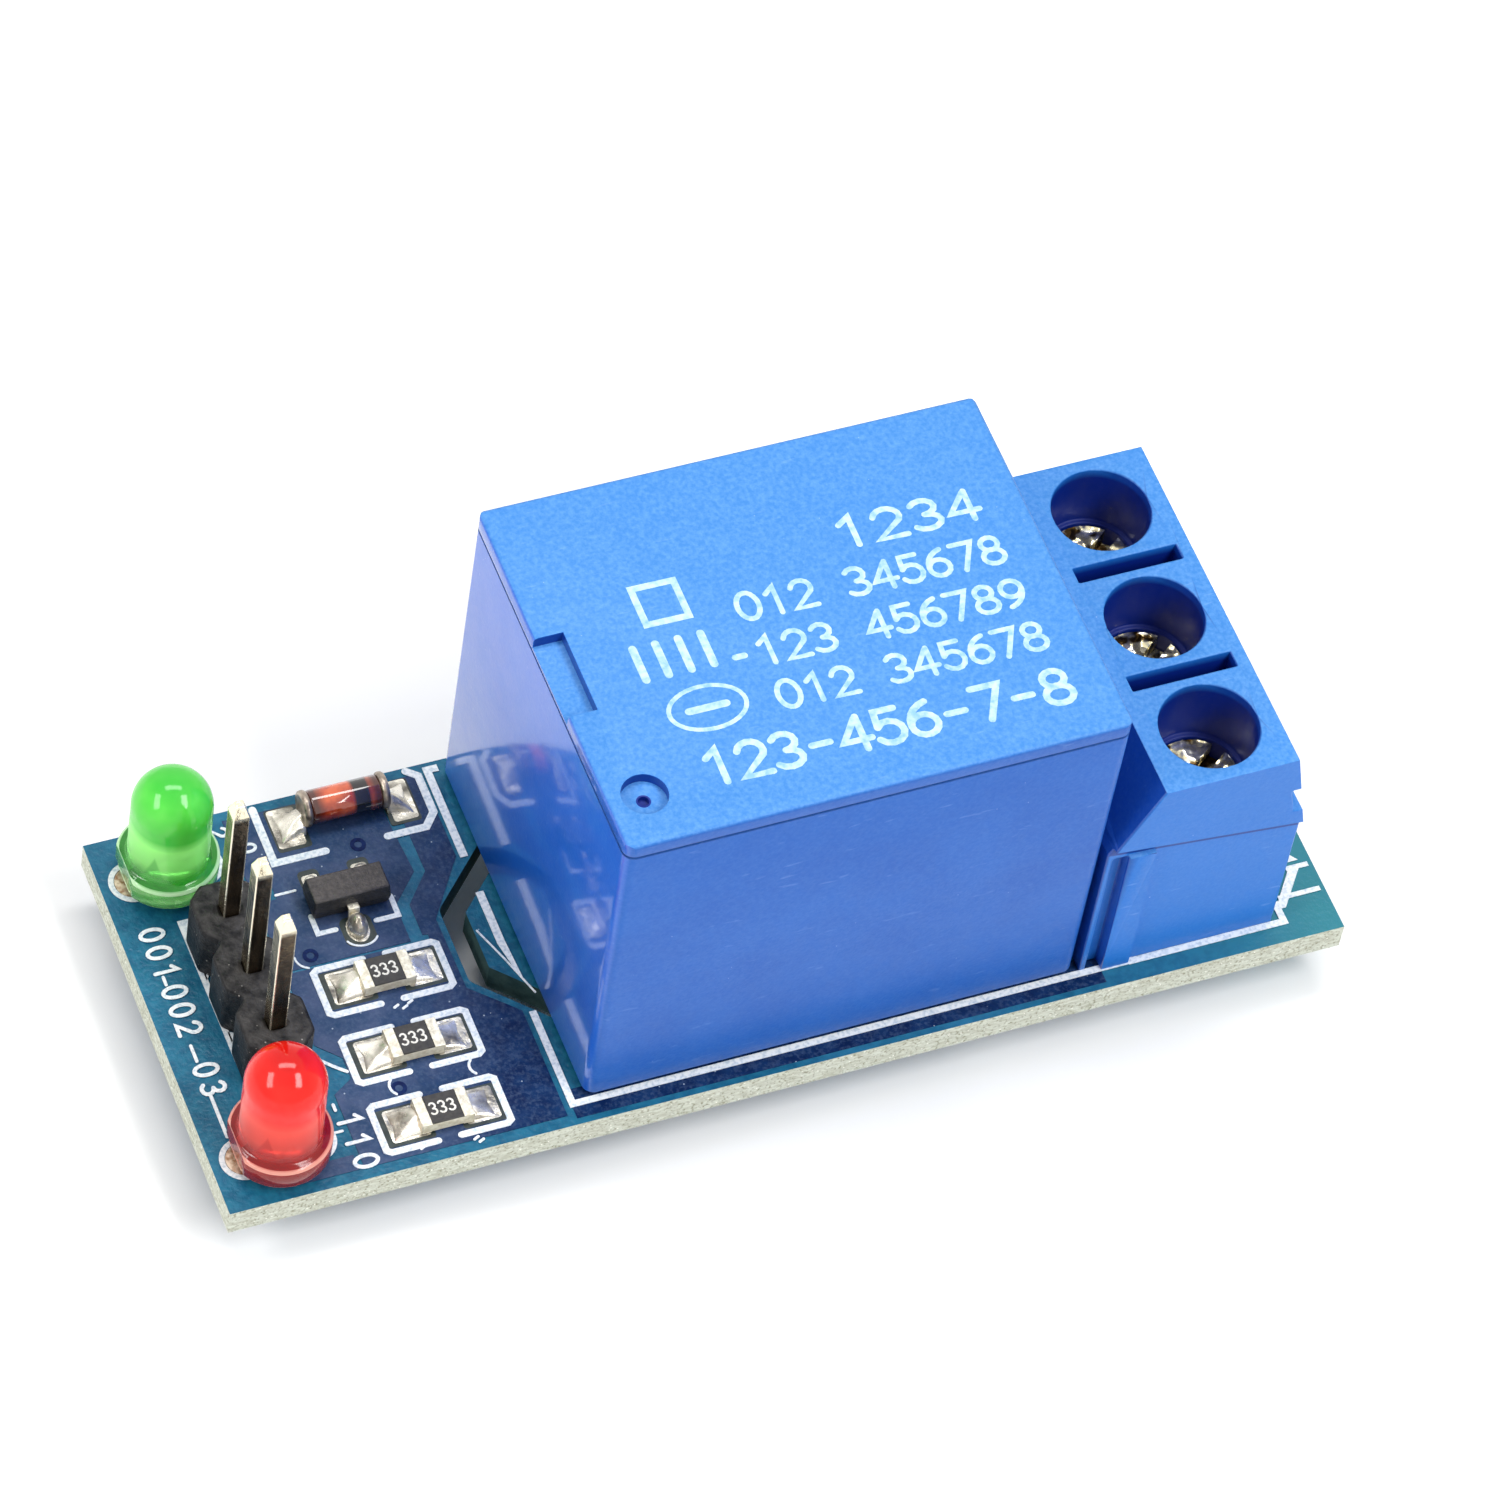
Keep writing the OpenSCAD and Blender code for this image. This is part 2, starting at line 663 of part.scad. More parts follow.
// Leaf riveted on the armature; its tail bends down behind the yoke as the hinge
module contact_spring() color("goldenrod") {
    tail_gap = 0.08;
    tail_out = tail_gap + spring_t;
    tail_low_z = floor_z + 4.6;
    leaf_x = armature_t * sin(armature_tilt) - tail_out;
    leaf_l = armature_l * 0.8 - leaf_x;
    tip_x = armature_l / 2;
    tip_end_x = contact_reach + spring_end;
    tip_r = spring_tip_w / 2 - 0.25;
    released() translate([0, 0, armature_t]) linear_extrude(spring_t) difference() {
        union() {
            translate([leaf_x, -spring_w / 2]) square([leaf_l, spring_w]);
            translate([tip_x, -spring_tip_w / 2]) square([tip_end_x - tip_x, spring_tip_w]);
            translate([tip_end_x, 0]) circle(tip_r);
        }
        for (p = rivets) translate(p) circle(rivet_r + rivet_fit);
        translate([contact_reach, 0]) circle(rivet_r + rivet_fit);
    }
    block(pivot_x - tail_out, pivot_x - tail_gap, relay_y - spring_w / 2, relay_y + spring_w / 2,
        tail_low_z, pivot_z + hinge_gap + armature_t + spring_t / 2);
}

module moving_contact() color("silver") released() translate([contact_reach, 0, armature_t]) {
    translate([0, 0, -button_h]) cylinder(r = button_r, h = button_h);
    translate([0, 0, -button_h / 2]) cylinder(r = rivet_r, h = button_h + spring_t);
    translate([0, 0, spring_t]) cylinder(r = button_r, h = button_h);
}

// ---- Terminal block ----

// Section of the housing, from the relay side to the wire side
module housing_outline() {
    x0 = block_x;
    x1 = block_x + block_d;
    lean = top_inset_wire / (block_h - wire_shoulder_h);
    groove_top_h = mark_groove_low_h + mark_groove_h;
    difference() {
        polygon([
            [x0, top_z], [x1, top_z], [x1, top_z + wire_shoulder_h],
            [x1 - top_inset_wire, top_z + block_h], [x0 + top_inset_relay, top_z + block_h],
            [x0 + back_step, top_z + back_shoulder_h], [x0, top_z + back_shoulder_h - back_step_h]
        ]);
        // marking groove, as deep as it is named all the way up the slope
        polygon([
            [x1 + cut, top_z + mark_groove_low_h], [x1 + cut, top_z + groove_top_h],
            [x1 - lean * (groove_top_h - wire_shoulder_h) - mark_groove_depth, top_z + groove_top_h],
            [x1 - lean * (mark_groove_low_h - wire_shoulder_h) - mark_groove_depth,
                top_z + mark_groove_low_h]
        ]);
    }
}

module terminal_housing() {
    y0 = block_y - block_w / 2;
    y1 = block_y + block_w / 2;
    web = 0.1;
    rib_x = block_x + 0.8;
    rib_w = 1.1;
    groove_x = block_x + 0.25;
    groove_w = rib_x - groove_x;
    groove_in = 0.35;
    rib_fit = 0.1;
    gap_slot_l = 4.1;
    color("royalblue") difference() {
        union() {
            wide(y0 + rib_depth, y1 - rib_depth) housing_outline();
            // full-width head over the recessed ends; its lower edge falls to the wire side
            wide(y0, y1) intersection() {
                housing_outline();
                polygon([
                    [block_x, top_z + head_edge_h], [block_x + block_d, top_z + wire_shoulder_h],
                    [block_x + block_d, top_z + block_h], [block_x, top_z + block_h]
                ]);
            }
            // joining rib on the front end
            wide(y0, y0 + rib_depth + web) translate([rib_x, top_z]) square([rib_w, rib_top_h + web]);
        }
        for (i = [1:poles]) {
            y = pole_y(i);
            translate([screw_x, y, well_z]) cylinder(r = well_r, h = block_h);
            translate([screw_x, y, shoulder_z]) cylinder(r = pocket_r, h = head_h + cut);
            translate([screw_x, y, cavity_top_z - cut]) cylinder(r = shank_r + shank_fit, h = block_h / 2);
            block(cavity_x, cage_x + cage_l + cage_end_fit, y - cavity_w / 2, y + cavity_w / 2,
                top_z - cut, cavity_top_z);
            block(screw_x, block_x + block_d + cut, y - wire_w / 2, y + wire_w / 2,
                cage_z + cage_t, cage_z + cage_t + wire_h);
        }
        if (poles > 1) for (i = [1:poles - 1])
            block(screw_x - gap_slot_l / 2, screw_x + gap_slot_l / 2,
                pole_y(i) + pole_pitch / 2 - gap_slot_w / 2, pole_y(i) + pole_pitch / 2 + gap_slot_w / 2,
                top_z + block_h - gap_slot_depth, top_z + block_h + cut);
        // joining groove on the front end, and the rib's groove on the back end
        wide(y0 - cut, y0 + rib_depth + groove_in) translate([groove_x, top_z - cut])
            square([groove_w, rib_top_h + cut]);
        wide(y1 - rib_depth - web, y1 + cut) translate([rib_x - rib_fit, top_z - cut])
            square([rib_w + 2 * rib_fit, rib_top_h + cut]);
    }
}

module clamp_screw(i) {
    slot_depth = 0.75;
    drive_slot_w = 0.55;
    cross_l = 2.2;
    slot_turn = 35;
    color("goldenrod") difference() {
        translate([screw_x, pole_y(i), 0]) {
            translate([0, 0, shoulder_z]) cylinder(r = head_r, h = head_h);
            translate([0, 0, tab_top_z + cage_slack]) cylinder(r = shank_r, h = shoulder_z - tab_top_z);
        }
        translate([screw_x, pole_y(i), head_top_z]) rotate(slot_turn) {
            cube([2 * head_r + cut, drive_slot_w, 2 * slot_depth], center = true);
            cube([drive_slot_w, cross_l, 2 * slot_depth], center = true);
        }
    }
}

module wire_cage(i) color("silver") difference() {
    block(cage_x, cage_x + cage_l, pole_y(i) - cage_w / 2, pole_y(i) + cage_w / 2, cage_z, cage_z + cage_h);
    block(cage_x - cut, cage_x + cage_l + cut, pole_y(i) - cage_w / 2 + cage_t,
        pole_y(i) + cage_w / 2 - cage_t, cage_z + cage_t, cage_z + cage_t + cage_inner_h);
    translate([screw_x, pole_y(i), cage_z]) translate([0, 0, cage_t + cage_inner_h - cut])
        cylinder(r = shank_r + shank_fit, h = cage_nut_t + 2 * cut);
}

// Bent strip: the tab lies in the cage, the leg goes down behind it into the board
module terminal_pin(i) color("silver") {
    lead_bar(leads[4 + i], tab_top_z - tab_t / 2);
    block(cavity_x, cavity_x + block_pin_t, pole_y(i) - tab_w / 2, pole_y(i) + tab_w / 2, top_z, tab_top_z);
    block(cavity_x, cage_x + cage_l, pole_y(i) - tab_w / 2, pole_y(i) + tab_w / 2,
        tab_top_z - tab_t, tab_top_z);
}

// ---- Header ----

module header_body() color("dimgray") difference() {
    corner = 0.55;
    w = header_pitch;
    half = w / 2;
    translate([header_x, header_y, top_z]) linear_extrude(header_h)
        for (i = [-1:1]) translate([0, i * header_pitch]) polygon([
            [-half, -half + corner], [-half + corner, -half], [half - corner, -half], [half, -half + corner],
            [half, half - corner], [half - corner, half], [-half + corner, half], [-half, half - corner]
        ]);
    for (i = [1:3]) lead_bar(leads[4 + poles + i], top_z + header_h + cut);
}

// Square pin with its free end drawn in
module header_post(i) {
    lead = leads[4 + poles + i];
    tip_z = top_z + header_h + header_free_l;
    half = header_pin / 2;
    outline = [
        [-half, board_z - lead[4]], [half, board_z - lead[4]], [half, tip_z - tip_l],
        [half - tip_in, tip_z], [-half + tip_in, tip_z], [-half, tip_z - tip_l]
    ];
    color("gold") intersection() {
        wide(lead[1] - half, lead[1] + half) translate([lead[0], 0]) polygon(outline);
        long(lead[0] - half, lead[0] + half) translate([lead[1], 0]) polygon(outline);
    }
}

// ---- Lamps ----

// Outlines in X and Z of the two posts inside a lens; side is -1 for the cathode.
// The cathode's post spreads into the dish that holds the chip.
module post_outline(side) {
    lead_x = led_pitch / 2;
    outer_x = lead_x + led_lead / 2;
    inner_x = lead_x - led_lead / 2;
    bend_z = lens_z + 0.4;
    bend_top_z = lens_z + 0.7;
    neck_z = lens_z + 1.2;
    head_z = lens_z + lead_top_h;
    dish_z = head_z - 0.3;
    dish_r = 0.25;
    pit_r = 0.05;
    cup_out = 0.9;
    cup_in = -0.45;
    cup_low_z = lens_z + 1.9;
    anvil_out = 1.1;
    anvil_in = 0.6;
    anvil_low_z = lens_z + 2.3;
    translate([led_x, 0]) mirror([side < 0 ? 1 : 0, 0]) {
        translate([inner_x, board_z - led_tail]) square([led_lead, bend_top_z - board_z + led_tail]);
        if (side < 0) polygon([
            [outer_x, bend_z], [outer_x, bend_top_z], [cup_out, neck_z], [cup_out, head_z],
            [dish_r, head_z], [pit_r, dish_z], [-pit_r, dish_z], [-dish_r, head_z], [cup_in, head_z],
            [-0.1, cup_low_z], [0.35, neck_z], [0.35, bend_top_z + 0.1], [inner_x, bend_z]
        ]);
        else polygon([
            [outer_x, bend_z], [outer_x, bend_top_z], [anvil_out, neck_z], [anvil_out, head_z],
            [anvil_in, head_z], [anvil_in, anvil_low_z], [0.75, neck_z - 0.1], [inner_x, bend_z]
        ]);
    }
}

module lamp_post(y, side) color("silver") wide(y - led_lead / 2, y + led_lead / 2) post_outline(side);

module lens(y) difference() {
    union() {
        translate([led_x, y, lens_z]) difference() {
            cylinder(r = lens_flange_r, h = lens_flange_h);
            // flat that marks the cathode
            translate([-2 * lens_flange_r - lens_r - lens_flat, -lens_flange_r, -cut])
                cube([2 * lens_flange_r, 2 * lens_flange_r, lens_flange_h + 2 * cut]);
        }
        translate([led_x, y, lens_z]) cylinder(r = lens_r, h = lens_h - lens_r);
        translate([led_x, y, lens_z + lens_h - lens_r]) sphere(lens_r, $fn = 48);
    }
    for (s = [-1, 1]) wide(y - led_lead / 2, y + led_lead / 2) post_outline(s);
}

module power_lamp_lens() color("red", 0.7) lens(led_y_front);
module relay_lamp_lens() color("lime", 0.7) lens(led_y_back);

// ---- Driver parts ----

module resistor(i) color("ivory") translate([chips_x, chip_y(i), seat_z]) {
    block(-chip_l / 2 + chip_cap_t, chip_l / 2 - chip_cap_t, -chip_w / 2, chip_w / 2,
        chip_cap_t, chip_h - chip_cap_t);
    // printed coat over the middle of the top
    block(-chip_l / 2 + chip_cap_l, chip_l / 2 - chip_cap_l, -chip_w / 2 + coat_in, chip_w / 2 - coat_in,
        chip_h / 2, chip_h - chip_cap_t + coat_t);
}

// Plated ends, wrapped over the end face, the top and the bottom of the ceramic
module resistor_ends(i) color("silver") translate([chips_x, chip_y(i), seat_z])
    for (s = [0, 1]) mirror([s, 0, 0]) difference() {
        block(-chip_l / 2, -chip_l / 2 + chip_cap_l, -chip_w / 2, chip_w / 2, 0, chip_h);
        block(-chip_l / 2 + chip_cap_t, 0, -chip_w, chip_w, chip_cap_t, chip_h - chip_cap_t);
    }

// Section of a moulded body that narrows from its parting line up and down
module drafted_outline(w, h, mid, draft) polygon([
    [-w / 2 + draft, 0], [w / 2 - draft, 0], [w / 2, mid], [w / 2 - draft, h], [-w / 2 + draft, h],
    [-w / 2, mid]
]);

module gull_lead(n) {
    t = transistor_lead_t;
    side = n == 1 ? -1 : 1;
    x = transistor_x + [0, 0, -1, 1][n] * transistor_lead_pitch;
    mid = transistor_mid_z - seat_z;
    root = transistor_w / 2 - 0.3;
    knee = transistor_w / 2 + 0.15;
    heel = knee + 0.02;
    translate([x, transistor_y, seat_z]) mirror([0, side < 0 ? 1 : 0, 0])
        long(-transistor_lead_w / 2, transistor_lead_w / 2) polygon([
            [root, mid - t / 2], [knee - t / 2, mid - t / 2], [heel, 0], [transistor_foot, 0],
            [transistor_foot, t], [heel + 0.1, t], [knee + t / 2, mid + t / 2], [root, mid + t / 2]
        ]);
}

module transistor_body() color("dimgray") difference() {
    translate([transistor_x, transistor_y, seat_z + transistor_lift]) intersection() {
        wide(-transistor_w, transistor_w)
            drafted_outline(transistor_l, transistor_h, transistor_mid_h, transistor_draft);
        long(-transistor_l, transistor_l)
            drafted_outline(transistor_w, transistor_h, transistor_mid_h, transistor_draft);
    }
    for (n = [1:3]) gull_lead(n);
}

module transistor_lead(n) color("silver") gull_lead(n);

module along_diode() translate([diode_mid_x, diode_y, diode_z]) rotate([0, 90, 0]) children();

module diode_glass() color("orangered", 0.7) along_diode() difference() {
    cylinder(r = diode_glass_r, h = diode_l - 2 * diode_cap_t, center = true);
    cylinder(r = diode_slug_r + glass_fit, h = diode_l, center = true);
}

// Cap and the slug that it carries into the glass
module diode_cap(side) color("silver") along_diode() mirror([0, 0, side < 0 ? 1 : 0]) {
    translate([0, 0, diode_l / 2 - diode_cap_t]) cylinder(r = diode_r, h = diode_cap_t);
    translate([0, 0, diode_die_t / 2])
        cylinder(r = diode_slug_r, h = (diode_l - diode_die_t - diode_cap_t) / 2);
}

module diode_die() color("dimgray") along_diode() cube([die_side, die_side, diode_die_t], center = true);

pcb();
solder_joints();
solder_fillets();
relay_cover();
relay_base();
coil_bobbin();
coil_winding();
coil_core();
relay_yoke();
coil_pin_1();
coil_pin_2();
common_terminal();
closed_terminal();
open_terminal();
closed_contact();
open_contact();
armature();
contact_spring();
moving_contact();
terminal_housing();
clamp_screw(1);  // clamp_screw_1
clamp_screw(2);  // clamp_screw_2
clamp_screw(3);  // clamp_screw_3
wire_cage(1);  // wire_cage_1
wire_cage(2);  // wire_cage_2
wire_cage(3);  // wire_cage_3
terminal_pin(1);  // terminal_pin_1
terminal_pin(2);  // terminal_pin_2
terminal_pin(3);  // terminal_pin_3
header_body();
header_post(1);  // header_pin_1
header_post(2);  // header_pin_2
header_post(3);  // header_pin_3
power_lamp_lens();
lamp_post(led_y_front, 1);  // power_lamp_anode
lamp_post(led_y_front, -1);  // power_lamp_cathode
relay_lamp_lens();
lamp_post(led_y_back, 1);  // relay_lamp_anode
lamp_post(led_y_back, -1);  // relay_lamp_cathode
resistor(1);  // resistor_1
resistor(2);  // resistor_2
resistor(3);  // resistor_3
resistor_ends(1);  // resistor_ends_1
resistor_ends(2);  // resistor_ends_2
resistor_ends(3);  // resistor_ends_3
transistor_body();
transistor_lead(1);  // transistor_lead_1
transistor_lead(2);  // transistor_lead_2
transistor_lead(3);  // transistor_lead_3
diode_glass();
diode_cap(-1);  // diode_cap_1
diode_cap(1);  // diode_cap_2
diode_die();
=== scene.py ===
import math

import bmesh
import bpy
from mathutils import Matrix, Vector, noise


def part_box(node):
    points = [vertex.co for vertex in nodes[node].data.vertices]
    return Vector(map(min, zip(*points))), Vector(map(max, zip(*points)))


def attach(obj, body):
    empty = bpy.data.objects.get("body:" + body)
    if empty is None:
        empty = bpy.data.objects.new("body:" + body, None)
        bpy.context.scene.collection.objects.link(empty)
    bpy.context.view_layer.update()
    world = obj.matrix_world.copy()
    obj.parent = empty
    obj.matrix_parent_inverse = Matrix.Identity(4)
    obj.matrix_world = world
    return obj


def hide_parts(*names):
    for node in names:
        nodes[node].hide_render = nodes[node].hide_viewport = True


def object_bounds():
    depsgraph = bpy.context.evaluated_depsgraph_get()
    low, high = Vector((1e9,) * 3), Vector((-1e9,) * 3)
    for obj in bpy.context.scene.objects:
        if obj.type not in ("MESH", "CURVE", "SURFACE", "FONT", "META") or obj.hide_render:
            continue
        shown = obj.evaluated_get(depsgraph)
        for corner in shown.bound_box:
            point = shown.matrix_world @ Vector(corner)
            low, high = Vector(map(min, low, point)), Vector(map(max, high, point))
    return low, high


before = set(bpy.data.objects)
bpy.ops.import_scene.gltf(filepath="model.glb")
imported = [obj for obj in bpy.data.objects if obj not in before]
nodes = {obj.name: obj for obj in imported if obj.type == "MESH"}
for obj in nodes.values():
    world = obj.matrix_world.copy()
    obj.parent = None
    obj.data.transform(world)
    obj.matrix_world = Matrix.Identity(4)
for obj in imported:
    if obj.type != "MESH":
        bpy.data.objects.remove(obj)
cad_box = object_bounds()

# ---- Circuit board ----
# A routed panel of glass-fibre laminate, 1.2 mm thick, with solder mask on both faces.
# Its edges and the isolation slot show bare laminate; the edge was snapped from a panel.

MM = 0.001
board_low, board_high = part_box("pcb")
HALF_LENGTH = (board_high.x - board_low.x) / 2 / MM
HALF_WIDTH = (board_high.y - board_low.y) / 2 / MM
CUT_SKIN = 0.05


def add(tree, kind, inputs=None, **settings):
    """A shader node; an input is linked if its value is a socket."""
    made = tree.nodes.new("ShaderNode" + kind)
    for key, value in settings.items():
        setattr(made, key, value)
    for key, value in (inputs or {}).items():
        if isinstance(value, bpy.types.NodeSocket):
            tree.links.new(value, made.inputs[key])
        else:
            made.inputs[key].default_value = value
    return made


def place(tree):
    """Position in the model's own frame, in mm."""
    where = add(tree, "TexCoord").outputs["Object"]
    return add(tree, "VectorMath", {0: where, "Scale": 1000.0}, operation="SCALE").outputs[0]


def axis_value(tree, axis):
    """Position along one axis, in mm."""
    return add(tree, "SeparateXYZ", {0: place(tree)}).outputs[axis]


def grain(tree, scale, detail=3.0, low=0.35, high=0.65, stretch=None):
    """Noise from 0 to 1; scale is in cells per mm."""
    where = place(tree)
    if stretch:
        where = add(tree, "VectorMath", {0: where, 1: stretch}, operation="MULTIPLY").outputs[0]
    raw = add(tree, "TexNoise", {"Vector": where, "Scale": scale, "Detail": detail}).outputs[0]
    return add(tree, "MapRange", {0: raw, 1: low, 2: high}).outputs[0]


def specks(tree, scale, size):
    """Scattered dots: 1 inside a dot, 0 outside; scale is in dots per mm."""
    far = add(tree, "TexVoronoi", {"Vector": place(tree), "Scale": scale}).outputs["Distance"]
    return add(tree, "MapRange", {0: far, 1: size, 2: size * 0.6}).outputs[0]


def span(tree, value, low, high):
    """0 at low, 1 at high, straight between."""
    return add(tree, "MapRange", {0: value, 1: low, 2: high}).outputs[0]


def maths(tree, operation, a, b=0.0):
    """One sum or comparison of values or sockets."""
    return add(tree, "Math", {0: a, 1: b}, operation=operation).outputs[0]


def times(tree, a, b):
    """a times b."""
    return maths(tree, "MULTIPLY", a, b)


def minus(tree, a, b):
    """a less b."""
    return maths(tree, "SUBTRACT", a, b)


def mix(tree, factor, a, b):
    """Colour a where factor is 0, b where it is 1."""
    def rgba(c):
        return c if isinstance(c, bpy.types.NodeSocket) else (*c[:3], 1.0)
    made = add(tree, "Mix", data_type="RGBA")
    for key, value in ((0, factor), (6, rgba(a)), (7, rgba(b))):
        if isinstance(value, bpy.types.NodeSocket):
            tree.links.new(value, made.inputs[key])
        else:
            made.inputs[key].default_value = value
    return made.outputs[2]


def facing(tree, axis):
    """The surface normal's part along an axis, -1 to 1."""
    return add(tree, "SeparateXYZ", {0: add(tree, "NewGeometry").outputs["Normal"]}).outputs[axis]


def finish_named(name, **constants):
    """A material with its Principled shader; constants go straight on the sockets."""
    material = bpy.data.materials.new(name)
    material.use_nodes = True
    tree = material.node_tree
    shader = tree.nodes["Principled BSDF"]
    for key, value in constants.items():
        shader.inputs[key.replace("_", " ")].default_value = value
    return material, tree, shader


def wire(tree, shader, **sockets):
    """Links each socket to the shader's input of that name."""
    for key, value in sockets.items():
        tree.links.new(value, shader.inputs[key.replace("_", " ")])


def raise_surface(tree, shader, height, distance, strength=0.5):
    """Bump from a height, distance in mm."""
    made = add(tree, "Bump", {"Height": height, "Distance": distance * MM, "Strength": strength})
    tree.links.new(made.outputs[0], shader.inputs["Normal"])


def dress(node, material):
    """Gives a CAD node its finish."""
    mesh = nodes[node].data
    mesh.materials.clear()
    mesh.materials.append(material)


def mask_finish():
    """Blue-green mask over bare laminate; pale laminate where the cut edge faces sideways, with painted
    shade on the slot's and holes' walls.
    """
    material, tree, shader = finish_named("mask_and_laminate", Specular_IOR_Level=0.22)
    weave = grain(tree, 3.0, 4.0)
    mask = mix(tree, weave, (0.005, 0.085, 0.165), (0.012, 0.135, 0.225))
    paler = grain(tree, 0.16, 3.0, 0.45, 0.75)
    mask = mix(tree, times(tree, paler, 0.5), mask, (0.045, 0.235, 0.400))
    wire_end = span(tree, axis_value(tree, 0), HALF_LENGTH - 6.7, HALF_LENGTH - 0.7)
    mask = mix(tree, wire_end, mask, (0.03, 0.20, 0.25))
    dust = specks(tree, 1.3, 0.05)
    mask = mix(tree, times(tree, dust, 0.6), mask, (0.55, 0.66, 0.72))

    # The cut edge: pale glass fibre, with dark pits and white fibre ends
    fibre = grain(tree, 2.2, 5.0, stretch=(1.0, 1.0, 4.0))
    edge = mix(tree, fibre, (0.46, 0.47, 0.38), (0.64, 0.67, 0.58))
    edge = mix(tree, grain(tree, 9.0, 3.0, 0.52, 0.7), edge, (0.27, 0.27, 0.19))
    edge = mix(tree, specks(tree, 4.0, 0.16), edge, (0.86, 0.86, 0.78))

    # Painted shade: the slot's and the holes' walls are darker than the outer edge, as shade falls
    # inside them
    off_x = maths(tree, "ABSOLUTE", axis_value(tree, 0))
    off_y = maths(tree, "ABSOLUTE", axis_value(tree, 1))
    in_length = maths(tree, "LESS_THAN", off_x, HALF_LENGTH - CUT_SKIN)
    in_width = maths(tree, "LESS_THAN", off_y, HALF_WIDTH - CUT_SKIN)
    shaded_slot_wall = mix(tree, grain(tree, 2.0), (0.018, 0.052, 0.056), (0.044, 0.092, 0.090))
    edge = mix(tree, times(tree, in_width, in_length), edge, shaded_slot_wall)

    flat = span(tree, maths(tree, "ABSOLUTE", facing(tree, 2)), 0.4, 0.6)
    rough = minus(tree, 0.75, times(tree, flat, 0.47))
    wire(tree, shader, Base_Color=mix(tree, flat, edge, mask), Roughness=rough)
    raise_surface(tree, shader, grain(tree, 6.0, 4.0), 0.02, 0.4)
    return material


dress("pcb", mask_finish())

# ---- Copper under the mask ----
# Etched copper, 0.03 mm thick, seen through the mask as slate and deep-blue fields with
# raised edges; the strips between them are bare laminate. The load tracks run underneath.

COPPER_T, DEEPER, THIN_COPPER = 0.03, 0.002, 0.018


def spot(x, y, z=0.0):
    """A point x, y in mm from the board's front corner at the header end, z above its top."""
    return Vector((board_low.x + x * MM, board_low.y + y * MM, board_high.z + z * MM))


def new_piece(name, verts, faces, material, slot, body="board", smooth=False):
    """A new mesh with its finish, riding on a body; verts are in metres."""
    mesh = bpy.data.meshes.new(name)
    mesh.from_pydata(verts, [], faces)
    mesh.update()
    mesh.materials.append(material)
    made = bpy.data.objects.new(name, mesh)
    bpy.context.scene.collection.objects.link(made)
    if smooth:
        mesh.shade_smooth()
    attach(made, body)
    return made


def slab(pieces, outline, low, high):
    """Adds a flat plate to pieces = (verts, faces); outline is anticlockwise points in mm."""
    verts, faces = pieces
    first, n = len(verts), len(outline)
    verts += [spot(x, y, low) for x, y in outline] + [spot(x, y, high) for x, y in outline]
    faces.append([first + i for i in reversed(range(n))])
    faces.append([first + n + i for i in range(n)])
    for i in range(n):
        j = (i + 1) % n
        faces.append([first + i, first + j, first + n + j, first + n + i])


def copper_finish():
    """Mask over copper: slate by the driver parts, deeper blue towards the relay."""
    material, tree, shader = finish_named("mask_over_copper", Roughness=0.26, Specular_IOR_Level=0.14)
    slate = mix(tree, grain(tree, 1.1, 4.0), (0.022, 0.055, 0.130), (0.058, 0.088, 0.175))
    deep = mix(tree, grain(tree, 1.3, 3.0), (0.001, 0.012, 0.062), (0.006, 0.030, 0.105))
    slanted = minus(tree, axis_value(tree, 0), times(tree, axis_value(tree, 1), 0.25))
    field = mix(tree, span(tree, slanted, -13.5, -8.6), slate, deep)
    clouds = times(tree, grain(tree, 7.0, 5.0, 0.45, 0.7), 0.3)
    field = mix(tree, clouds, field, (0.10, 0.15, 0.25))
    dust = specks(tree, 1.6, 0.06)
    field = mix(tree, times(tree, dust, 0.7), field, (0.5, 0.6, 0.7))
    wire(tree, shader, Base_Color=field)
    raise_surface(tree, shader, grain(tree, 5.0, 4.0), 0.015, 0.4)
    return material


mask_over_copper = copper_finish()
CHIP_FIELD = [
    (5.2, 5.9), (6.0, 5.1), (6.0, 4.2), (5.2, 3.7), (5.2, 0.45), (12.9, 0.45), (12.9, 5.2),
    (11.3, 6.7), (11.25, 9.9), (10.75, 10.35), (10.75, 9.1), (5.2, 9.1),
]
TRANSISTOR_FIELD = [
    (5.2, 9.2), (10.05, 9.2), (10.05, 10.85), (11.2, 12.1), (11.05, 14.3), (11.05, 16.2),
    (5.2, 16.2), (5.2, 13.1), (6.0, 13.1), (6.0, 12.35), (5.2, 12.35),
]
SLOT_FIELD = [
    (10.55, 9.35), (10.9, 9.3), (11.4, 10.1), (12.9, 12.3), (12.9, 16.2), (11.55, 16.2),
    (11.6, 12.0), (10.55, 10.75),
]
LAMP_FIELD = [(2.5, 0.45), (5.0, 0.45), (5.0, 1.1), (3.2, 1.1)]
RELAY_FIELD = [(13.2, 0.25), (33.9, 0.25), (33.9, 1.5), (13.2, 1.5)]
upper_copper = ([], [])
slab(upper_copper, CHIP_FIELD, 0, COPPER_T)
slab(upper_copper, TRANSISTOR_FIELD, 0, COPPER_T)
slab(upper_copper, SLOT_FIELD, 0, COPPER_T - DEEPER)
slab(upper_copper, LAMP_FIELD, 0, COPPER_T)
slab(upper_copper, RELAY_FIELD, 0, THIN_COPPER)
new_piece("upper_copper", *upper_copper, mask_over_copper, "board")

HAIR, HAIR_STEPS = 0.0002, 31


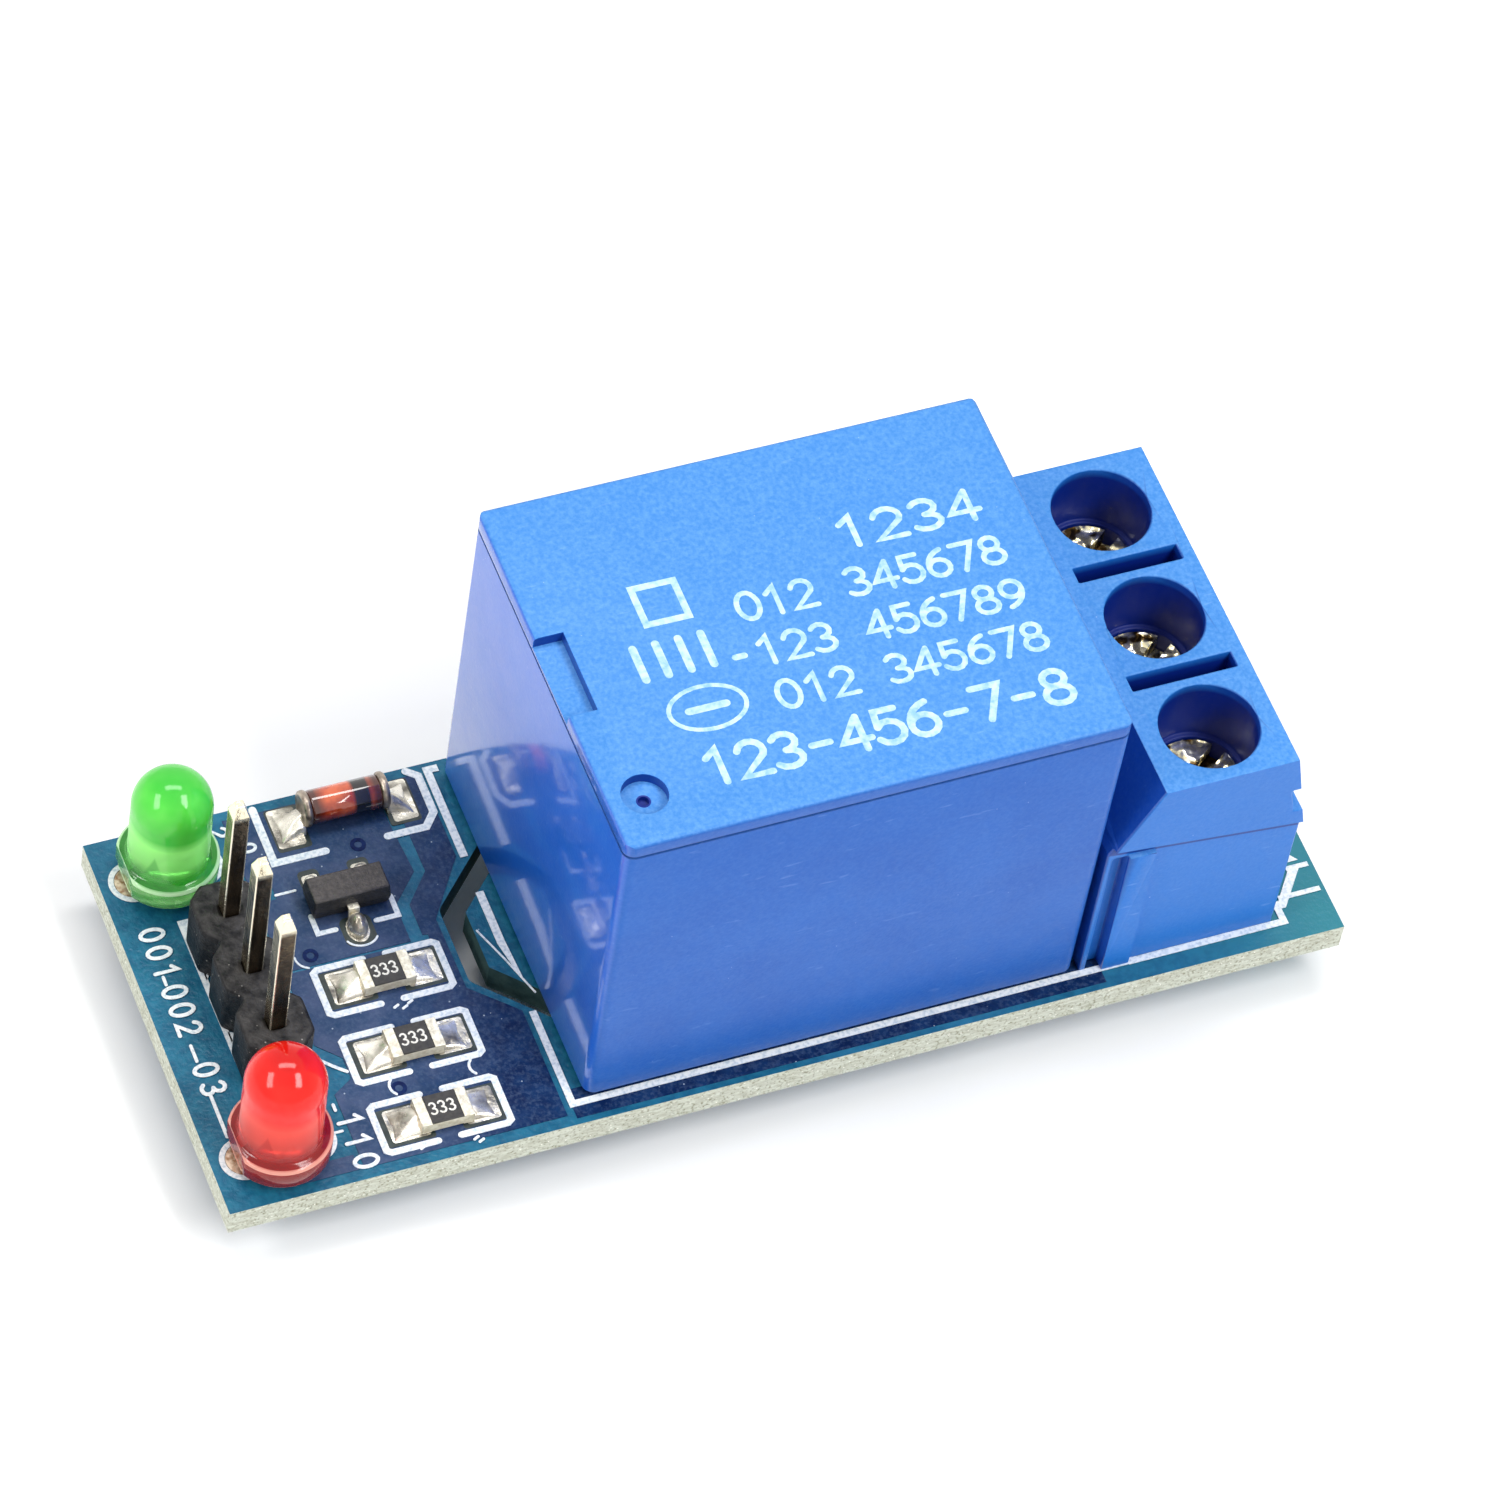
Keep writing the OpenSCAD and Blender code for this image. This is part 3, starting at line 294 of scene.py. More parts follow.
def ribbon(pieces, points, width, low, high, closed=False, round_ends=True):
    """Adds a flat line of that width along points, with mitred turns and rounded ends.

    Each line's top lies a hair lower than the last, so lines that cross share no plane.
    """
    high -= HAIR * (len(pieces[1]) % HAIR_STEPS)
    pts = [Vector(p) for p in points]
    n = len(pts)
    half = width / 2
    left, right = [], []
    for i in range(n):
        before = pts[i - 1] if closed or i else None
        after = pts[(i + 1) % n] if closed or i < n - 1 else None
        d_in = (pts[i] - before).normalized() if before is not None else None
        d_out = (after - pts[i]).normalized() if after is not None else None
        d_in, d_out = d_in or d_out, d_out or d_in
        side_in, side_out = Vector((-d_in.y, d_in.x)), Vector((-d_out.y, d_out.x))
        mid = (side_in + side_out).normalized()
        reach = half / max(mid.dot(side_out), 0.5)
        left.append(pts[i] + mid * reach)
        right.append(pts[i] - mid * reach)
    verts, faces = pieces
    first = len(verts)
    for a, b in zip(left, right):
        verts += [spot(a.x, a.y, high), spot(b.x, b.y, high), spot(a.x, a.y, low), spot(b.x, b.y, low)]
    for i in range(n if closed else n - 1):
        p, q = first + 4 * i, first + 4 * ((i + 1) % n)
        faces += [[p, p + 1, q + 1, q], [p + 3, p + 2, q + 2, q + 3]]
        faces += [[p + 2, p, q, q + 2], [p + 1, p + 3, q + 3, q + 1]]
    if closed:
        return
    for end, inner, sign in ((0, 1, 1), (n - 1, n - 2, -1)):
        p = first + 4 * end
        round_off = []
        if round_ends:
            along = (pts[end] - pts[inner]).normalized()
            side = (left[end] - right[end]).normalized() * half
            for turn in (30, 60, 90, 120, 150):
                t = math.radians(turn)
                round_off.append(pts[end] + side * math.cos(t) + along * half * math.sin(t))
        tops = [p] + [len(verts) + k for k in range(len(round_off))] + [p + 1]
        verts += [spot(c.x, c.y, high) for c in round_off]
        lows = [p + 2] + [len(verts) + k for k in range(len(round_off))] + [p + 3]
        verts += [spot(c.x, c.y, low) for c in round_off]
        if round_off:
            faces.append(tops[::-sign])
            faces.append(lows[::sign])
        for k in range(len(tops) - 1):
            faces.append([tops[k], tops[k + 1], lows[k + 1], lows[k]][::-sign])


def arc(cx, cy, rx, ry, start, stop, steps=12):
    """Points on an arc, angles in degrees."""
    turns = [math.radians(start + (stop - start) * i / steps) for i in range(steps + 1)]
    return [(cx + rx * math.cos(t), cy + ry * math.sin(t)) for t in turns]


UNDER = (board_low.z - board_high.z) / MM
LOWER_TRACKS = (
    ([(30.13, 2.6), (32.2, 3.1), (34.8, 3.12)], 1.9),
    ([(30.13, 14.6), (32.2, 13.4), (34.8, 13.28)], 1.9),
    ([(15.88, 8.59), (19.0, 8.59), (31.0, 8.2), (34.8, 8.2)], 2.3),
    ([(18.23, 2.6), (14.5, 2.6), (12.0, 5.2), (10.83, 3.35)], 0.7),
    ([(18.23, 14.6), (14.0, 15.3), (9.64, 13.8), (3.5, 10.84)], 0.6),
    ([(3.5, 8.3), (6.3, 9.6)], 0.5),
    ([(3.5, 5.76), (7.4, 3.35)], 0.4),
    ([(3.77, 2.05), (6.0, 2.05), (7.4, 3.35)], 0.4),
    ([(1.23, 2.05), (1.23, 6.5), (3.5, 8.3)], 0.4),
    ([(1.23, 14.55), (1.23, 12.0), (3.5, 10.84)], 0.4),
    ([(3.77, 14.55), (6.2, 12.0), (6.3, 9.6)], 0.4),
)
lower_copper = ([], [])
for track, width in LOWER_TRACKS:
    ribbon(lower_copper, track, width, UNDER - COPPER_T, UNDER)
new_piece("lower_copper", *lower_copper, mask_over_copper, "board")

VIA_SPOTS = ((9.63, 13.8), (6.35, 9.64), (7.5, 3.3))
VIA_R, VIA_LINE, VIA_TOP = 0.22, 0.15, 0.05
via_rings = ([], [])
for x, y in VIA_SPOTS:
    ribbon(via_rings, arc(x, y, VIA_R, VIA_R, 0, 340, 17), VIA_LINE, 0, VIA_TOP, closed=True)
tented, tree, shader = finish_named("tented_via", Roughness=0.5, Specular_IOR_Level=0.1)
covered = mix(tree, grain(tree, 5.0), (0.002, 0.008, 0.055), (0.005, 0.020, 0.095))
wire(tree, shader, Base_Color=covered)
new_piece("via_rings", *via_rings, tented, "board")

# ---- Tinned lands ----
# Bare pads with a thin coat of solder, under the chip parts and round the lamps' posts.
# They stand just above the mask, and burnt flux has stained the mask round them; round the single lead
# the stain also paints the shadow under the bead.


def plus(tree, a, b):
    """a plus b."""
    return maths(tree, "ADD", a, b)


def solder_finish(name, light, dark, rough, lumps=1.0):
    """Bright solder that froze smooth, creamy where flux stayed on it."""
    material, tree, shader = finish_named(name, Metallic=0.7, Roughness=rough)
    tone = mix(tree, grain(tree, lumps, 3.0, 0.30, 0.55), dark, light)
    dulled = plus(tree, rough - 0.05, times(tree, grain(tree, lumps * 3), 0.2))
    wire(tree, shader, Base_Color=tone, Roughness=dulled)
    raise_surface(tree, shader, grain(tree, lumps * 1.5, 3.0, 0.3, 0.7), 0.06, 0.5)
    return material


def disc(cx, cy, rx, ry=None, steps=28):
    """Outline of a circle, or of an ellipse when ry is given."""
    return arc(cx, cy, rx, ry or rx, 0, 360, steps)[:-1]


def pad(cx, cy, lx, ly, corner=0.12):
    """Outline of a rectangular pad with rounded corners."""
    outline = []
    for start, sx, sy in ((0, 1, 1), (90, -1, 1), (180, -1, -1), (270, 1, -1)):
        x, y = cx + sx * (lx / 2 - corner), cy + sy * (ly / 2 - corner)
        outline += arc(x, y, corner, corner, start, start + 90, 4)
    return outline


CHIP_X, CHIP_YS = 8.6, (1.8, 4.9, 8.0)
DIODE_X, DIODE_Y = 9.56, 15.4
SINGLE_LEAD_X, PAIRED_LEADS = 8.38, ((7.43, 12.85), (9.33, 12.85))
LAMP_POSTS = [(x, y) for x in (1.23, 3.77) for y in (2.05, 14.55)]
PAD_TOP = 0.045
lands = ([], [])
for y in CHIP_YS:
    slab(lands, pad(CHIP_X - 1.35, y, 1.45, 1.4), 0, PAD_TOP)
    slab(lands, pad(CHIP_X + 1.4, y, 1.3, 1.4), 0, PAD_TOP)
slab(lands, pad(DIODE_X - 2.21, DIODE_Y - 0.15, 1.05, 1.75), 0, PAD_TOP)
slab(lands, pad(DIODE_X + 2.19, DIODE_Y - 0.15, 0.95, 1.8), 0, PAD_TOP)
slab(lands, disc(SINGLE_LEAD_X, 10.25, 0.42, 0.58), 0, PAD_TOP)
for x, y in PAIRED_LEADS:
    slab(lands, pad(x, y - 0.08, 0.6, 0.5), 0, PAD_TOP)

# Burnt flux spreads a little past each land, lower than the land's top; round the single lead the dark
# stain also paints the shadow under its bead
STAIN_TOP = COPPER_T + 0.006
stains_and_shadow = ([], [])
for y in CHIP_YS:
    slab(stains_and_shadow, pad(CHIP_X - 1.4, y - 0.03, 1.85, 1.62), 0, STAIN_TOP)
    slab(stains_and_shadow, pad(CHIP_X + 1.45, y - 0.03, 1.75, 1.62), 0, STAIN_TOP)
slab(stains_and_shadow, pad(DIODE_X - 2.16, DIODE_Y - 0.2, 1.3, 1.95), 0, STAIN_TOP)
slab(stains_and_shadow, pad(DIODE_X + 2.14, DIODE_Y - 0.2, 1.2, 1.95), 0, STAIN_TOP)
# Painted shadow: this stain also stands for the shadow under the single lead's bead
slab(stains_and_shadow, pad(SINGLE_LEAD_X, 10.2, 1.2, 1.3, 0.3), 0, STAIN_TOP)
for x, y in PAIRED_LEADS:
    slab(stains_and_shadow, pad(x, y, 0.8, 0.8, 0.2), 0, STAIN_TOP)
flux_and_shadow, tree, shader = finish_named("flux_and_shadow", Roughness=0.3)
flux_and_shadow_tone = mix(tree, grain(tree, 2.5, 4.0), (0.006, 0.014, 0.014), (0.030, 0.046, 0.042))
wire(tree, shader, Base_Color=flux_and_shadow_tone)
new_piece("flux_stains_and_shadow", *stains_and_shadow, flux_and_shadow, "board")
tinned = solder_finish("tinned_land", (0.74, 0.70, 0.60), (0.13, 0.12, 0.10), rough=0.24)
new_piece("chip_lands", *lands, tinned, "solder")

LAMP_LAND_R = 0.68
lamp_lands = ([], [])
for x, y in LAMP_POSTS:
    slab(lamp_lands, disc(x, y, LAMP_LAND_R), 0, PAD_TOP)
fluxed, tree, shader = finish_named("fluxed_copper", Metallic=0.6, Roughness=0.35)
wire(tree, shader, Base_Color=mix(tree, grain(tree, 5.0), (0.30, 0.16, 0.08), (0.72, 0.60, 0.46)))
new_piece("lamp_lands", *lamp_lands, fluxed, "solder")

# ---- Screen-printed legend ----
# White epoxy ink, screened over the mask and baked: part outlines, pad rings and plain
# numbers, a little broken where the screen clogged.

INK = (0.028, 0.06)
FINE, THIN, MEDIUM, BOLD = 0.08, 0.1, 0.2, 0.3
legend = ([], [])


def ink(points, width, **options):
    """One printed line."""
    ribbon(legend, points, width, *INK, **options)


# Chip resistors: a bracket with cut corners at each end
BRACKET_LINE, CORNER_X, CORNER_Y = 0.26, 0.16, 0.12
for y0, y1 in ((0.77, 2.83), (3.86, 5.86), (6.92, 8.96)):
    for side, outer, inner in ((-1, 6.18, 8.1), (1, 10.9, 8.98)):
        x = outer - side * CORNER_X
        ends = [(outer, y0 + CORNER_Y), (outer, y1 - CORNER_Y)]
        ink([(inner, y0), (x, y0)] + ends + [(x, y1), (inner, y1)], BRACKET_LINE)

# Diode: two brackets, the cathode's with cut corners
ink([(6.42, 16.35), (6.42, 13.86), (8.4, 13.86)], BOLD)
ink([(10.8, 13.84), (12.3, 13.84), (12.78, 14.4), (12.78, 16.1), (12.4, 16.42)], BOLD)

# Relay: its end and front, broken at the slot, with the slot's slanting mark
ink([(13.6, 16.25), (13.18, 16.25), (13.18, 12.18)], BOLD, round_ends=False)
ink([(13.18, 10.55), (13.18, 8.2)], BOLD, round_ends=False)
slab(legend, [(13.03, 8.2), (13.3, 6.7), (13.42, 6.3), (13.33, 8.2)], *INK)
ink([(12.5, 8.95), (12.75, 8.3), (13.05, 7.5), (13.35, 6.6), (13.62, 5.8)], 0.07)
RELAY_LINE = 0.27
ink([(13.24, 5.05), (13.24, 0.86), (35.2, 0.86)], RELAY_LINE, round_ends=False)

# Terminal block: its front and wire side, ending in a slanted step
ink([(35.0, 0.84), (41.3, 0.84), (41.3, 1.75)], RELAY_LINE, round_ends=False)
slab(legend, [(41.2, 1.4), (41.62, 1.4), (42.9, 3.05), (42.45, 3.05)], *INK)
ink([(41.5, 1.85), (43.2, 1.85)], MEDIUM, round_ends=False)
ink([(42.3, 3.0), (43.2, 3.0)], MEDIUM, round_ends=False)

# Header: a line with two ticks behind it
slab(legend, [(2.26, 5.5), (2.46, 5.5), (2.46, 11.6), (2.64, 12.42), (2.2, 12.42)], *INK)
for y in (7.1, 9.9):
    slab(legend, [(2.4, y - 0.25), (2.66, y + 0.1), (2.4, y + 0.25)], *INK)
ink([(0.95, 5.0), (0.95, 3.1)], 0.13)

# Lamps: a ring round each land
LAMP_RING_R = 0.8
for x, y in LAMP_POSTS:
    ink(disc(x, y, LAMP_RING_R, steps=32), MEDIUM, closed=True)

# Transistor: two corners, and an arc round the single lead's land
ink(arc(8.42, 10.0, 0.62, 0.5, 200, 330), FINE)
ink([(6.92, 11.25), (6.92, 10.45), (7.6, 10.45)], MEDIUM)
ink([(10.0, 11.3), (10.0, 10.42), (9.15, 10.42)], MEDIUM)
ink([(6.0, 12.5), (6.75, 12.5)], THIN)

# Stray ends of lines, arcs round the vias, and specks of ink
ink([(5.2, 5.2), (5.55, 4.85), (5.95, 4.5)], 0.13)
ink(arc(6.3, 9.65, 0.55, 0.55, 175, 250, 5), FINE)
ink(arc(7.6, 3.4, 0.42, 0.42, 130, 230, 5), THIN)
ink(arc(10.62, 3.4, 0.4, 0.4, 130, 230, 5), THIN)
for x, y in ((8.5, 6.62), (8.8, 6.5), (9.05, 6.66), (7.4, 0.62), (9.35, 0.45), (9.5, 0.3)):
    ink([(x, y), (x + 0.17, y + 0.08)], THIN)

# Each digit is a list of strokes in a box 0.62 wide and 1 high
OVAL = arc(0.31, 0.5, 0.31, 0.5, 90, 450, 20)
SIX_BOWL = arc(0.31, 0.31, 0.3, 0.31, 150, 510, 14)
SIX_TAIL = arc(0.66, 0.36, 0.65, 0.64, 180, 105, 5)
DIGITS = {
    "0": [OVAL],
    "1": [[(0.1, 0.78), (0.36, 1.0), (0.36, 0.0)]],
    "2": [arc(0.31, 0.7, 0.29, 0.3, 165, -30, 8) + [(0.0, 0.0), (0.62, 0.0)]],
    "3": [arc(0.29, 0.75, 0.27, 0.25, 150, -90, 8), arc(0.29, 0.25, 0.31, 0.25, 90, -150, 8)],
    "4": [[(0.46, 0.0), (0.46, 1.0)], [(0.42, 0.95), (0.0, 0.3), (0.64, 0.3)]],
    "5": [[(0.56, 1.0), (0.1, 1.0), (0.06, 0.52)],
          [(0.06, 0.52)] + arc(0.29, 0.33, 0.32, 0.33, 110, -150, 9)],
    "6": [SIX_BOWL, SIX_TAIL],
    "7": [[(0.0, 1.0), (0.62, 1.0), (0.2, 0.0)]],
    "8": [arc(0.31, 0.76, 0.25, 0.24, -90, 270, 14), arc(0.31, 0.27, 0.31, 0.27, 90, 450, 14)],
    "9": [[(0.62 - x, 1.0 - y) for x, y in line] for line in (SIX_BOWL, SIX_TAIL)],
    "-": [[(0.08, 0.45), (0.5, 0.45)]],
    " ": [],
}


def number(pieces, text, corner, along, low, high, height, step, stroke, widen=1.0):
    """Plain digits, step mm apart, read along a direction from the corner of the first."""
    a = Vector(along).normalized()
    up = Vector((-a.y, a.x))
    for i, sign in enumerate(text):
        start = Vector(corner) + a * step * i
        for line in DIGITS[sign]:
            points = [start + a * px * height * widen + up * py * height for px, py in line]
            if line[0] == line[-1] or (points[0] - points[-1]).length < stroke / 4:
                ribbon(pieces, points[:-1], stroke, low, high, closed=True)
            else:
                ribbon(pieces, points, stroke, low, high)


# Header's row of numbers with bars between, then the lamps' and the terminals' numbers
DOWN = (0, -1)
for text, y in (("001", 12.35), ("002", 9.75), ("03", 6.25)):
    number(legend, text, (0.72, y), DOWN, *INK, height=0.86, step=0.82, stroke=0.15, widen=0.85)
for y0, y1 in ((10.25, 9.9), (7.15, 6.45)):
    ink([(0.95, y0), (0.95, y1)], 0.12)
number(legend, "110", (4.92, 2.75), DOWN, *INK, height=0.86, step=0.9, stroke=0.15, widen=0.9)
ink([(5.0, 3.3), (5.0, 3.05)], 0.12)
ink([(4.6, 2.15), (4.95, 2.15)], THIN)
number(legend, "2", (4.62, 15.9), DOWN, *INK, height=0.6, step=0.7, stroke=0.12)
number(legend, "0", (5.45, 14.95), DOWN, *INK, height=0.55, step=0.7, stroke=0.12)
for text, y in (("1", 3.7), ("2", 8.75), ("3", 13.85)):
    number(legend, text, (41.75, y), DOWN, *INK, height=1.0, step=1.0, stroke=0.17)

paint, tree, shader = finish_named("legend_ink", Roughness=0.55)
worn = grain(tree, 7.0, 4.0, 0.3, 0.55)
wire(tree, shader, Base_Color=mix(tree, worn, (0.50, 0.60, 0.68), (0.84, 0.88, 0.90)))
raise_surface(tree, shader, grain(tree, 12.0), 0.01, 0.4)
new_piece("legend", *legend, paint, "board")

# ---- Soldered joints ----
# Hand-soldered cones under the board, and fillets that were drawn up the ends of the
# chip parts with too much solder, so they bulge and flare over their pads.

solder = solder_finish("solder", (1.0, 0.95, 0.83), (0.27, 0.24, 0.19), rough=0.24, lumps=0.9)
dress("solder_joints", solder)
joint_mesh = nodes["solder_joints"].data
joint_mesh.shade_smooth()
joint_mesh.set_sharp_from_angle(angle=math.radians(40))

TOE, HIDDEN_END = 0.03, 0.05
LUMP, LEAN = 0.10, 0.75


def fillet(pieces, start, side, length, top, half_width, flare, seed):
    """A bulging fillet from start = (x, y) along side (+1 or -1 in x), flaring over its pad.

    Its ridge leans to the front, and it starts a little inside the part's end.
    """
    verts, faces = pieces
    rows, cols = 12, 14
    first = len(verts)
    for i in range(rows + 1):
        u = i / rows
        for j in range(-cols // 2, cols // 2 + 1):
            v = j / (cols / 2)
            reach = length * u * (1 - 0.12 * (1 - abs(v)) * u)
            x = start[0] + side * (reach - HIDDEN_END)
            y = start[1] + v * (half_width + flare * u * u)
            ridge = 1 - 0.62 * abs(v + LEAN * u) ** 0.9
            z = (top - 0.04) * (1 - u ** 1.5) * max(ridge, 0.1)
            lump = noise.noise(Vector((x * 1.5, y * 1.5, seed)))
            swell = math.sin(math.pi * min(u * 1.2, 1)) * (1 - v * v)
            z = max(z + LUMP * lump * swell, 0.0) + PAD_TOP
            on_rim = abs(j) == cols // 2 or i == rows
            verts.append(spot(x, y, TOE if on_rim else z))
    width = cols + 1
    for i in range(rows):
        for j in range(cols):
            a = first + i * width + j
            quad = [a, a + 1, a + width + 1, a + width]
            faces.append(quad if side < 0 else quad[::-1])
    base = len(verts)
    rim = [first + j for j in range(width)]
    rim += [first + i * width + cols for i in range(1, rows + 1)]
    rim += [first + rows * width + j for j in range(cols - 1, -1, -1)]
    rim += [first + i * width for i in range(rows - 1, 0, -1)]
    verts += [Vector((verts[k].x, verts[k].y, board_high.z)) for k in rim]
    for k in range(len(rim)):
        m = (k + 1) % len(rim)
        quad = [rim[k], base + k, base + m, rim[m]]
        faces.append(quad if side < 0 else quad[::-1])
    bottom = [base + k for k in range(len(rim))]
    faces.append(bottom if side < 0 else bottom[::-1])


CHIP_END, DIODE_END, DIODE_DROP = 1.0, 1.65, 0.1
CHIP_LEFT = {"length": 1.08, "top": 0.47, "half_width": 0.6, "flare": 0.1}
CHIP_RIGHT = {"length": 0.92, "top": 0.36, "half_width": 0.58, "flare": 0.08}
DIODE_LEFT = {"length": 1.0, "top": 0.7, "half_width": 0.55, "flare": 0.22}
DIODE_RIGHT = {"length": 0.95, "top": 0.7, "half_width": 0.5, "flare": 0.25}
fillets = ([], [])
for k, y in enumerate(CHIP_YS):
    fillet(fillets, (CHIP_X - CHIP_END, y), -1, **CHIP_LEFT, seed=1.7 + k)
    fillet(fillets, (CHIP_X + CHIP_END, y), 1, **CHIP_RIGHT, seed=5.2 + k)
fillet(fillets, (DIODE_X - DIODE_END, DIODE_Y - DIODE_DROP), -1, **DIODE_LEFT, seed=9.1)
fillet(fillets, (DIODE_X + DIODE_END, DIODE_Y - DIODE_DROP), 1, **DIODE_RIGHT, seed=11.4)
bulges = new_piece("chip_fillets", *fillets, solder, "solder", smooth=True)
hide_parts("solder_fillets")

BEAD_LOW = 0.04


def skin_rings(faces, first, rings, around):
    """Faces between stacked rings of points, closed by a point on top and a flat base."""
    for i in range(rings - 1):
        for j in range(around):
            low, high = first + i * around, first + (i + 1) * around
            k = (j + 1) % around
            faces.append([low + j, low + k, high + k, high + j])
    last = first + (rings - 1) * around
    for j in range(around):
        faces.append([last + j, last + (j + 1) % around, first + rings * around])
    faces.append([first + j for j in reversed(range(around))])


def bead(pieces, cx, cy, rx, ry, height):
    """A dome of solder, rx by ry, round a lead."""
    verts, faces = pieces
    rows, around = 5, 18
    first = len(verts)
    for i in range(rows):
        rise = i / rows * math.pi / 2
        z = BEAD_LOW + height * math.sin(rise)
        for j in range(around):
            a = 2 * math.pi * j / around
            x = cx + rx * math.cos(rise) * math.cos(a)
            y = cy + ry * math.cos(rise) * math.sin(a)
            verts.append(spot(x, y, z))
    verts.append(spot(cx, cy, BEAD_LOW + height))
    skin_rings(faces, first, rows, around)


beads = ([], [])
bead(beads, SINGLE_LEAD_X, 10.3, rx=0.38, ry=0.5, height=0.76)
for x, y in PAIRED_LEADS:
    bead(beads, x, y - 0.15, rx=0.27, ry=0.25, height=0.25)
new_piece("lead_beads", *beads, solder, "solder", smooth=True)

# ---- Relay mechanism ----
# Inside the sealed cover: a coil wound on a bobbin, an iron core, yoke and armature, and
# silver contacts on strips. It shows only when the cover is off, so the finishes are plain.


def metal(name, light, dark, rough, scale=3.0, metallic=1.0):
    """Sheet or bar metal with a slightly clouded surface."""
    material, tree, shader = finish_named(name, Metallic=metallic, Roughness=rough)
    wire(tree, shader, Base_Color=mix(tree, grain(tree, scale, 4.0), dark, light))
    raise_surface(tree, shader, grain(tree, scale * 4), 0.01, 0.3)
    return material


iron = metal("nickelled_iron", (0.62, 0.61, 0.58), (0.45, 0.44, 0.42), rough=0.32)
tin = metal("tin_plate", (0.74, 0.72, 0.66), (0.52, 0.50, 0.45), rough=0.3)
silver = metal("contact_silver", (0.88, 0.87, 0.84), (0.66, 0.65, 0.62), rough=0.22)
bronze = metal("spring_bronze", (0.72, 0.48, 0.26), (0.52, 0.32, 0.16), rough=0.28)
for node in ("coil_core", "relay_yoke", "armature"):
    dress(node, iron)
for node in ("coil_pin_1", "coil_pin_2", "common_terminal", "closed_terminal", "open_terminal"):
    dress(node, tin)
for node in ("closed_contact", "open_contact", "moving_contact"):
    dress(node, silver)
dress("contact_spring", bronze)

wound, tree, shader = finish_named("enamelled_wire", Metallic=0.7, Roughness=0.3)
strands = add(tree, "TexWave", {"Vector": place(tree), "Scale": 3.0}, bands_direction="Z").outputs[1]
wire(tree, shader, Base_Color=mix(tree, strands, (0.35, 0.11, 0.04), (0.72, 0.30, 0.14)))
raise_surface(tree, shader, strands, 0.05, 0.8)
dress("coil_winding", wound)

bobbin, tree, shader = finish_named("bobbin_plastic", Roughness=0.5)
wire(tree, shader, Base_Color=mix(tree, grain(tree, 2.0), (0.78, 0.74, 0.64), (0.86, 0.83, 0.76)))
dress("coil_bobbin", bobbin)

# ---- Relay cover and base ----
# A deep-drawn box of injection-moulded blue plastic, satin, pressed over a flat base and
# sealed. The top is printed; a pocket, a vent dimple and a moulding line break it up.

# WELD is in metres and STRIP_W in mm; the rest are turns between faces, in degrees
WELD, STRIP_W = 2e-6, 0.08
STILL, FLAT_TURN, FACET_TURN, ROUNDED_TURN, CREASE = 0.8, 1.5, 15, 35, 50


def smooth_rounds(mesh):
    """Smooth shading on fine strips and shallow turns, so the flat faces stay flat."""
    work = bmesh.new()
    work.from_mesh(mesh)
    for face in work.faces:
        longest = max(edge.calc_length() for edge in face.edges)
        turns = [math.degrees(edge.calc_face_angle(0.0)) for edge in face.edges]
        narrow = face.calc_area() < longest * STRIP_W * MM
        face.smooth = narrow or any(STILL < turn < FACET_TURN for turn in turns)
    for edge in work.edges:
        edge.smooth = math.degrees(edge.calc_face_angle(0.0)) < CREASE
    work.to_mesh(mesh)
    work.free()


def clean_copy(node, name, bevel, steps=2, merge=True):
    """A copy of a CAD node's mesh with merged faces and small rounded edges."""
    mesh = nodes[node].data.copy()
    made = bpy.data.objects.new(name, mesh)
    bpy.context.scene.collection.objects.link(made)
    work = bmesh.new()
    work.from_mesh(mesh)
    bmesh.ops.remove_doubles(work, verts=work.verts, dist=WELD)
    if merge:
        flat = math.radians(FLAT_TURN)
        bmesh.ops.dissolve_limit(work, angle_limit=flat, verts=work.verts, edges=work.edges)
    work.to_mesh(mesh)
    work.free()
    rounding = made.modifiers.new("rounding", "BEVEL")
    rounding.width = bevel * MM
    rounding.segments = steps
    rounding.limit_method = "ANGLE"
    rounding.angle_limit = math.radians(ROUNDED_TURN)
    rounding.use_clamp_overlap = True
    rounding.miter_outer = "MITER_ARC"
    shown = made.evaluated_get(bpy.context.evaluated_depsgraph_get())
    made.data = bpy.data.meshes.new_from_object(shown)
    made.modifiers.clear()
    smooth_rounds(made.data)
    return made


def stand_in(node, name, material, slot, bevel, body="board", **options):
    """Replaces a CAD node by a copy with rounded edges and that finish."""
    made = clean_copy(node, name, bevel, **options)
    made.data.materials.clear()
    made.data.materials.append(material)
    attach(made, body)
    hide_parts(node)
    return made


